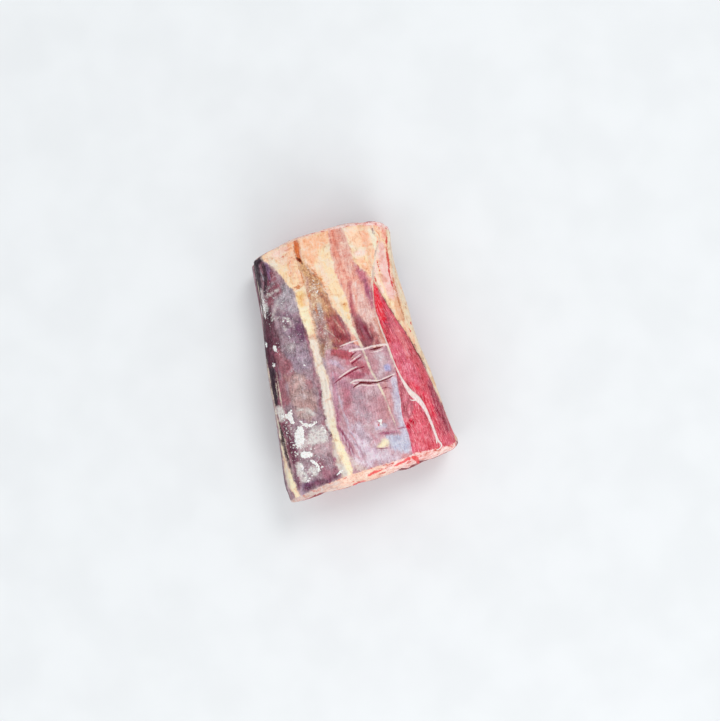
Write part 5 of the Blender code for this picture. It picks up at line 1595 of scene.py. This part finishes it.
class Finish:
    """One material: its nodes, and a colour that is painted layer by layer."""

    def __init__(self, name):
        self.material = bpy.data.materials.new(name)
        self.material.use_nodes = True
        self.nodes = Nodes(self.material.node_tree)
        self.shader = self.material.node_tree.nodes["Principled BSDF"]
        self.place = self.nodes.place()
        ragged = self.nodes.group("Ragged Edge", Place=self.place)
        self.coarse, self.fine = ragged["Coarse"], ragged["Fine"]
        self.colour = None

    def cover(self, name, soft, coarse=0.0, fine=0.0, offset=0.0):
        """Cover of a stored shape, its border softened and frayed by so many millimetres."""
        n = self.nodes
        frayed = n.sum(n.value(name), n.times(self.coarse, coarse), n.times(self.fine, fine), offset)
        return n.ramp(frayed, -soft, soft)

    def paint(self, cover, colour, strength=1.0):
        n = self.nodes
        share = cover if strength == 1.0 else n.times(cover, strength)
        self.colour = n.mix(share, self.colour, colour)

    def finish(self, roughness, height, bump=0.0004, strength=0.6, **constants):
        n = self.nodes
        bumped = n.add("ShaderNodeBump", {"Height": height, "Distance": bump, "Strength": strength})
        n.feed(self.shader.inputs["Base Color"], self.colour)
        n.feed(self.shader.inputs["Roughness"], roughness)
        n.feed(self.shader.inputs["Normal"], bumped.outputs["Normal"])
        for label, value in constants.items():
            self.shader.inputs[label.replace("_", " ")].default_value = value
        return self.material


WET_CONSTANTS = {"Coat_Weight": 0.08, "Coat_Roughness": 0.25, "Subsurface_Weight": 0.1,
                 "Subsurface_Radius": (1.0, 0.35, 0.25), "Subsurface_Scale": 0.0018, "IOR": 1.36,
                 "Specular_IOR_Level": 0.08}


def lay_muscle(f, grain):
    """Muscle under its membrane, with crumbs and a fine grain; gives its height."""
    n, place = f.nodes, f.place
    fibres = n.group("Muscle Fibres", Place=place, Grain=grain, Colour=n.stored_colour("meat_colour"),
                     Pale=FILM_WHITE, Deepness=0.5, Paleness=0.09)
    film = n.group("Membrane Film", Place=place, Grain=grain, Colour=fibres["Result"],
                   Strength=n.times(n.value("film"), 0.9))
    crackle = n.group("Crumbly Crackle", Place=place, Colour=film["Result"], Strength=n.value("crackle"))
    grained = n.group("Grainy Contrast", Place=place, Grain=grain, Colour=crackle["Result"],
                      Streaks=0.4, Strength=n.value("grit"))
    f.colour = grained["Result"]
    return n.sum(*(n.times(layer["Height"], 0.5) for layer in (fibres, film, grained)))


def lay_bare_muscle(f, grain):
    """Wavy red fibres where the membrane is torn away, and the shadow along their right side."""
    n, place = f.nodes, f.place
    wavy = n.moved(grain, place, 0.06, (3.6, 0.0, 3.6))
    fibres = n.group("Muscle Fibres", Place=place, Grain=wavy, Colour=n.stored_colour("red_colour"),
                     Pale=RED_THREAD, Deepness=0.55, Paleness=0.5)
    bare = n.group("Grainy Contrast", Place=place, Grain=grain, Colour=fibres["Result"], Streaks=1.0,
                   Strength=0.4)
    f.paint(f.cover("bare", 0.4, 0.2, 0.15), bare["Result"])
    # painted shadow along the right side of the bare muscle
    f.paint(f.cover("shadow", 0.5, 0.2, 0.2), SHADOW_WINE, 0.9)


def lay_fat(f, grain, cover):
    """Fat, its pale threads and brown stains; gives the height of the fat."""
    n, place = f.nodes, f.place
    fat = n.group("Fat Body", Place=place, Grain=grain, Colour=n.stored_colour("fat_colour"),
                  Capillaries=n.times(n.value("capillary"), 0.8))
    grained = n.group("Grainy Contrast", Place=place, Grain=grain, Colour=fat["Result"], Streaks=0.5,
                      Strength=0.14)
    f.paint(cover, grained["Result"])
    thread = n.mix(n.ramp(f.coarse, -1.0, 1.0), BEIGE_GREY, OLD_CREAM)
    f.paint(f.cover("thread", 0.4, 0.15, 0.2), thread, 0.85)
    f.paint(f.cover("rust", 0.6, 0.4, 0.5), RUST_STAIN, 0.85)
    f.paint(f.cover("stain", 0.4, 0.4, 0.4), BROWN_BLACK, 0.95)
    return n.times(n.times(fat["Height"], cover), 0.4)


def lay_creases(f):
    """Painted highlight on the ridges; painted shade in crimson creases and slits, brown deep down."""
    n = f.nodes
    f.paint(f.cover("ridge", 0.4, 0.1, 0.2), RIDGE_HIGHLIGHT, 0.85)
    f.paint(f.cover("crease", 0.4, 0.2, 0.2), CREASE_SHADE_CRIMSON, 0.92)
    slit = n.mix(n.ramp(n.value("slit"), 0.3, 0.9), SLIT_SHADE_RED, SLIT_SHADE_BROWN)
    f.paint(f.cover("slit", 0.35, 0.2, 0.25), slit, 0.92)


def lay_frost(f):
    """Lacy powder, patches of frost and scattered flecks; gives the covers of powder and frost."""
    n, place = f.nodes, f.place
    lacy = n.noise(place, 2.2, 4.0, 0.7, 0.5)
    powder = n.times(f.cover("powder", 1.6, 0.9, 0.5), n.ramp(lacy, 0.38, 0.54, 0.35, 1.0))
    f.paint(powder, FROST_SOFT, 0.9)
    fleck = n.ramp(n.sum(lacy, n.times(n.value("fleck"), 0.15)), 0.68, 0.73)
    speck = n.ramp(n.noise(place, 1.3, 1.0, 0.5), 0.72, 0.76)
    fleck = n.times(n.math("MAXIMUM", fleck, speck), n.ramp(n.value("fleck"), 0.08, 0.35))
    frost = n.math("MAXIMUM", f.cover("frost", 0.25, 0.45, 0.5), fleck)
    f.paint(frost, n.mix(n.ramp(f.fine, -0.9, 0.1), FROST_SOFT, FROST_WHITE), 0.97)
    return powder, frost


# Along the meat, where blood turns from dark to bright towards the wide cut, in millimetres.
BLOOD_TURN = (-84.0, -92.0)


def lay_rim(f):
    """The rim of fat at the cuts, and blood."""
    n = f.nodes
    rim = n.sum(n.value("rim"), n.times(f.coarse, 0.6), n.times(f.fine, 0.4))
    f.paint(n.ramp(rim, 1.1, 0.2), rim_colour(f), 0.9)
    blood = n.mix(n.ramp(n.axis(f.place, "Y"), *BLOOD_TURN), BLOOD_RED, BLOOD_BRIGHT)
    f.paint(f.cover("blood", 0.4, 0.35, 0.3), blood, 0.8)


def rim_colour(f):
    """Fat along the edge of a cut: greyish, cream, then white with coral, and bloody streaks."""
    n = f.nodes
    shifted = n.sum(n.axis(f.place, "X"), n.times(f.coarse, 9.0))
    colour = n.mix(n.ramp(shifted, -46.0, -22.0), RIM_GREY, RIM_CREAM)
    colour = n.mix(n.ramp(shifted, 0.0, 30.0), colour, RIM_WHITE)
    drawn = n.noise(n.vector("MULTIPLY", f.place, (0.14, 0.3, 0.6)), 1.0, 3.0, 0.6, 0.8)
    coral = n.times(n.ramp(shifted, 18.0, 34.0), n.ramp(drawn, 0.44, 0.54, 0.05, 0.55))
    colour = n.mix(coral, colour, RIM_CORAL)
    colour = n.mix(n.times(n.ramp(f.fine, 0.0, -0.9), 0.25), colour, WARM_TINT, "MULTIPLY")
    return n.mix(n.times(n.ramp(drawn, 0.565, 0.64), 0.9), colour,
                 n.mix(n.ramp(f.fine, -0.6, 0.6), BLOOD_RED, CORAL))


SATURATION = 1.08


def outside_finish():
    """Top, sides and underside: muscle under its membrane, fat, bare muscle, creases and frost."""
    f = Finish("meat_outside")
    n, place = f.nodes, f.place
    grain = n.stored_vector("grain")
    muscle_height = lay_muscle(f, grain)
    streak = n.group("Fibre Streaks", Grain=grain, Width=1.2, Length=10.0, Crispness=0.5)["Value"]
    fat_depth = n.sum(n.value("fat"), n.math("SUBTRACT", streak, 0.5), n.times(f.coarse, 0.5),
                      n.times(f.fine, 0.25))
    haze = n.times(n.ramp(fat_depth, -2.4, 0.4), n.ramp(f.coarse, -0.9, 0.7, 0.05, 0.5))
    f.paint(haze, FAT_HAZE)
    lay_bare_muscle(f, grain)
    fat_height = lay_fat(f, grain, n.ramp(fat_depth, -0.8, 0.8))
    lay_creases(f)
    powder, frost = lay_frost(f)
    lay_rim(f)
    f.colour = n.add("ShaderNodeHueSaturation",
                     {"Saturation": SATURATION, "Color": f.colour}).outputs["Color"]
    height = n.sum(muscle_height, fat_height, n.times(frost, 0.6), n.times(powder, 0.3))
    rough = n.group("Wet Film", Place=place, Wet=0.32, Dry=0.52)["Roughness"]
    rough = n.sum(rough, n.times(frost, 0.3))
    return f.finish(rough, height, **WET_CONSTANTS)


def cut_finish():
    """The two cuts: bundles of muscle, the seams and sinews between them and the rim of fat."""
    f = Finish("meat_cut")
    n, place = f.nodes, f.place
    tone = n.value("tone")
    cells = n.cell_border(n.vector("MULTIPLY", place, (1.0, 0.5, 1.0)), 0.8)
    cloud = n.noise(place, 9.0, 3.0, 0.55, 0.4)
    speck = n.noise(place, 1.1, 2.0, 0.6)
    meat = n.mix(n.ramp(n.sum(tone, n.times(cloud, 0.5)), 0.2, 1.2), CUT_DARK, CUT_RED)
    lighter = n.ramp(n.sum(cloud, n.times(tone, 0.25)), 0.5, 0.85)
    f.colour = n.mix(n.times(lighter, 0.75), meat, CUT_PALE)
    borders = n.times(n.ramp(cells, 0.12, 0.0), n.ramp(cloud, 0.4, 0.6, 0.3, 1.0))
    f.paint(borders, n.mix(0.4, CUT_PALE, SEAM_CREAM), 0.2)
    f.paint(n.ramp(speck, 0.56, 0.72), RED_PALE, 0.24)
    vein = n.off_middle(place, 16.0, 3.0, 0.55, 0.7)
    f.paint(n.times(n.ramp(vein, 0.016, 0.002), n.ramp(cloud, 0.44, 0.62)), SEAM_CREAM, 0.6)
    width = n.sum(1.1, n.times(f.coarse, 0.9), n.times(f.fine, 0.35))
    seam = n.ramp(n.math("SUBTRACT", width, n.value("gap")), -0.7, 0.5)
    f.paint(seam, n.mix(n.ramp(cloud, 0.4, 0.6), SEAM_CREAM, PINK_WHITE), 0.9)
    sinew = f.cover("sinew", 0.5, 1.1, 0.6, -0.4)
    f.paint(sinew, n.mix(n.ramp(speck, 0.3, 0.6), SEAM_CREAM, SINEW_WHITE), 0.9)
    rim_fat = f.cover("rim_fat", 0.6, 1.2, 0.5)
    fat = n.group("Fat Body", Place=place, Grain=place, Colour=rim_colour(f), Capillaries=0.4)
    f.paint(rim_fat, fat["Result"])
    f.paint(f.cover("blood", 0.4, 0.35, 0.3), BLOOD_BRIGHT, 0.85)
    height = n.sum(n.times(n.ramp(cells, 0.0, 0.25), 0.25), n.times(speck, 0.4), n.times(seam, -0.5),
                   n.times(sinew, 0.5), n.times(n.times(fat["Height"], rim_fat), 0.5))
    rough = n.group("Wet Film", Place=place, Wet=0.26, Dry=0.44)["Roughness"]
    return f.finish(rough, height, **WET_CONSTANTS)


def sinew_finish():
    """White tendon: glossy, faintly pink, with fibres along it."""
    f = Finish("tendon_white")
    n, place = f.nodes, f.place
    turned = n.vector("MULTIPLY", place, (1.0, 0.22, 1.0))
    fibre = n.noise(turned, 0.9, 3.0, 0.6, 0.6)
    f.colour = n.mix(n.ramp(fibre, 0.36, 0.62), TENDON_PINK, TENDON_WHITE)
    f.paint(n.ramp(f.coarse, 0.3, 0.9), IVORY, 0.5)
    rough = n.group("Wet Film", Place=place, Wet=0.26, Dry=0.4)["Roughness"]
    return f.finish(rough, fibre, 0.0003, **WET_CONSTANTS)


def floor_finish():
    """A matt pale floor, faintly clouded."""
    material = bpy.data.materials.new("pale_floor")
    material.use_nodes = True
    n = Nodes(material.node_tree)
    cloud = n.ramp(n.noise(n.place(), 60.0, 2.0), 0.3, 0.7)
    shader = material.node_tree.nodes["Principled BSDF"]
    n.feed(shader.inputs["Base Color"], n.mix(cloud, FLOOR_SHADE, FLOOR_LIGHT))
    shader.inputs["Roughness"].default_value = 0.7
    shader.inputs["Specular IOR Level"].default_value = 0.2
    return material


# ------------------------------------------------------------------ building
STEP_REACH = 7.0


def move_step(skin):
    """Moves the step of the solid sideways onto the torn edge as it is seen."""
    places = places_of(skin.data)
    seen = marks_plane(places)
    from_step = beside_route(seen, SOLID_STEP)
    shift = from_step - beside_route(seen, MEMBRANE_EDGE)
    share = bell(from_step / STEP_REACH) * smooth(50.0, 60.0, places[:, 2])
    share = share * smooth(-100.0, -90.0, seen[:, 1])
    places[:, 0] += shift * share
    set_places(skin.data, places)


def build_skin():
    """The whole skin: dense, in relief, with its stored values and its two finishes."""
    skin_object = merged_copy(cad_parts["shank"])
    crease_membrane_step(skin_object)
    make_dense(skin_object)
    move_step(skin_object)
    refine_details(skin_object, DETAIL_SHAPES, DETAIL_REACH)
    refine_details(skin_object, RELIEF_MARKS, FINE_REACH)
    skin = Skin(skin_object)
    values = shape_values(skin)
    layers = painted_layers(skin)
    set_places(skin.mesh, skin.places + skin.normals * relief(skin, values)[:, None])
    for name, stored in {**values, **layers, "grain": skin.grain}.items():
        skin.store(name, stored)
    skin.mesh.materials.append(outside_finish())
    skin.mesh.materials.append(cut_finish())
    across, along, _ = face_centres(skin.mesh).T
    on_cut = inside_edges(across, along) < 0
    skin.mesh.polygons.foreach_set("material_index", on_cut.astype(np.int32))
    skin.mesh.shade_smooth()
    return skin_object


def below_mark(tree, mark):
    """The place on the skin that the camera sees at a mark, and the normal there, in metres."""
    eye = Vector((*CAMERA_FOOT, CAMERA_HEIGHT)) * MM
    target = Vector((mark[0] + MARK_ZERO[0], mark[1] + MARK_ZERO[1], MARK_LEVEL)) * MM
    place, normal = tree.ray_cast(eye, (target - eye).normalized())[:2]
    return place, normal


# A strand, in millimetres; its lift and its flattening are shares of its width and height.
STRAND_RADIUS = 0.5
STRAND_LIFT = 0.1
STRAND_FLATNESS = 0.45
STRAND_VOXEL = 0.22
STRAND_SOFTENING = 6
STRAND_WAVER = 0.12


def add_strand(name, tree, routes):
    """Strands laid on the skin: curves with a width at each point, flattened and fused."""
    curve = bpy.data.curves.new(name, "CURVE")
    curve.dimensions = "3D"
    curve.bevel_depth = STRAND_RADIUS * MM
    curve.bevel_resolution = 4
    curve.use_fill_caps = True
    for route in routes:
        line = rounded(route, False)
        spline = curve.splines.new("POLY")
        spline.points.add(len(line) - 1)
        for point, (x, y, width) in zip(spline.points, line):
            place, normal = below_mark(tree, (x, y))
            point.co = (*(place + normal * (STRAND_LIFT * width) * MM), 1.0)
            point.radius = width
    strand = add_object(name, curve)
    select_only(strand)
    bpy.ops.object.convert(target="MESH")
    places = places_of(strand.data)
    for index, place in enumerate(places):
        near_place, normal = tree.find_nearest(Vector(place) * MM)[:2]
        side = (Vector(place) * MM - near_place).dot(normal) / MM
        places[index] = place - np.array(normal) * side * STRAND_FLATNESS
    set_places(strand.data, places)
    fusing = strand.modifiers.new("Fuse", "REMESH")
    fusing.mode = "VOXEL"
    fusing.voxel_size = STRAND_VOXEL * MM
    smoothing = strand.modifiers.new("Soften", "SMOOTH")
    smoothing.iterations = STRAND_SOFTENING
    apply_modifiers(strand)
    places = places_of(strand.data)
    waver = (STRAND_WAVER * wander(places, 3.0, 2))[:, None]
    set_places(strand.data, places + normals_of(strand.data) * waver)
    strand.data.shade_smooth()
    strand.data.materials.append(sinew_finish())
    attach(strand, "root")
    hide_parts("shank")


FLOOR_SIZE = 6.0
LIGHT_TARGET = (0.0, 0.0, 0.03)
SKY_COLOUR = (0.95, 0.975, 1.0, 1.0)
SKY_STRENGTH = 0.68


def add_floor():
    bpy.ops.object.select_all(action="DESELECT")
    bpy.ops.mesh.primitive_plane_add(size=FLOOR_SIZE, location=(0.0, 0.0, 0.0))
    floor = bpy.context.object
    floor.name = "floor"
    floor.data.materials.append(floor_finish())


def add_light(name, place, size, power):
    data = bpy.data.lights.new(name, "AREA")
    data.shape = "DISK"
    data.size = size
    data.energy = power
    light = add_object(name, data)
    light.location = place
    light.rotation_euler = (Vector(LIGHT_TARGET) - Vector(place)).to_track_quat("-Z", "Y").to_euler()


def add_lights():
    """Three soft lights and a pale sky."""
    add_light("key", place=(0.9, 1.1, 2.1), size=0.9, power=16.5)
    add_light("fill", place=(-1.4, -0.6, 1.7), size=1.4, power=6.0)
    add_light("front", place=(0.4, -1.9, 1.3), size=1.6, power=17.0)
    world = bpy.data.worlds.new("studio")
    bpy.context.scene.world = world
    world.use_nodes = True
    background = world.node_tree.nodes["Background"]
    background.inputs["Color"].default_value = SKY_COLOUR
    background.inputs["Strength"].default_value = SKY_STRENGTH


def add_camera():
    data = bpy.data.cameras.new("camera")
    data.lens = CAMERA_LENS
    data.sensor_width = SENSOR
    camera = add_object("camera", data)
    camera.location = (CAMERA_FOOT[0] * MM, CAMERA_FOOT[1] * MM, CAMERA_HEIGHT * MM)
    camera.rotation_euler = (0.0, 0.0, -math.radians(CAMERA_TURN))
    bpy.context.scene.camera = camera


build_groups()
shank = build_skin()
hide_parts("shank")
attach(shank, "root")
surface = BVHTree.FromObject(shank, bpy.context.evaluated_depsgraph_get())
add_strand("tendon", surface, (TENDON, TENDON_FORK, TENDON_PRONG))
add_floor()
add_lights()
add_camera()
bpy.context.scene.view_settings.view_transform = "Standard"
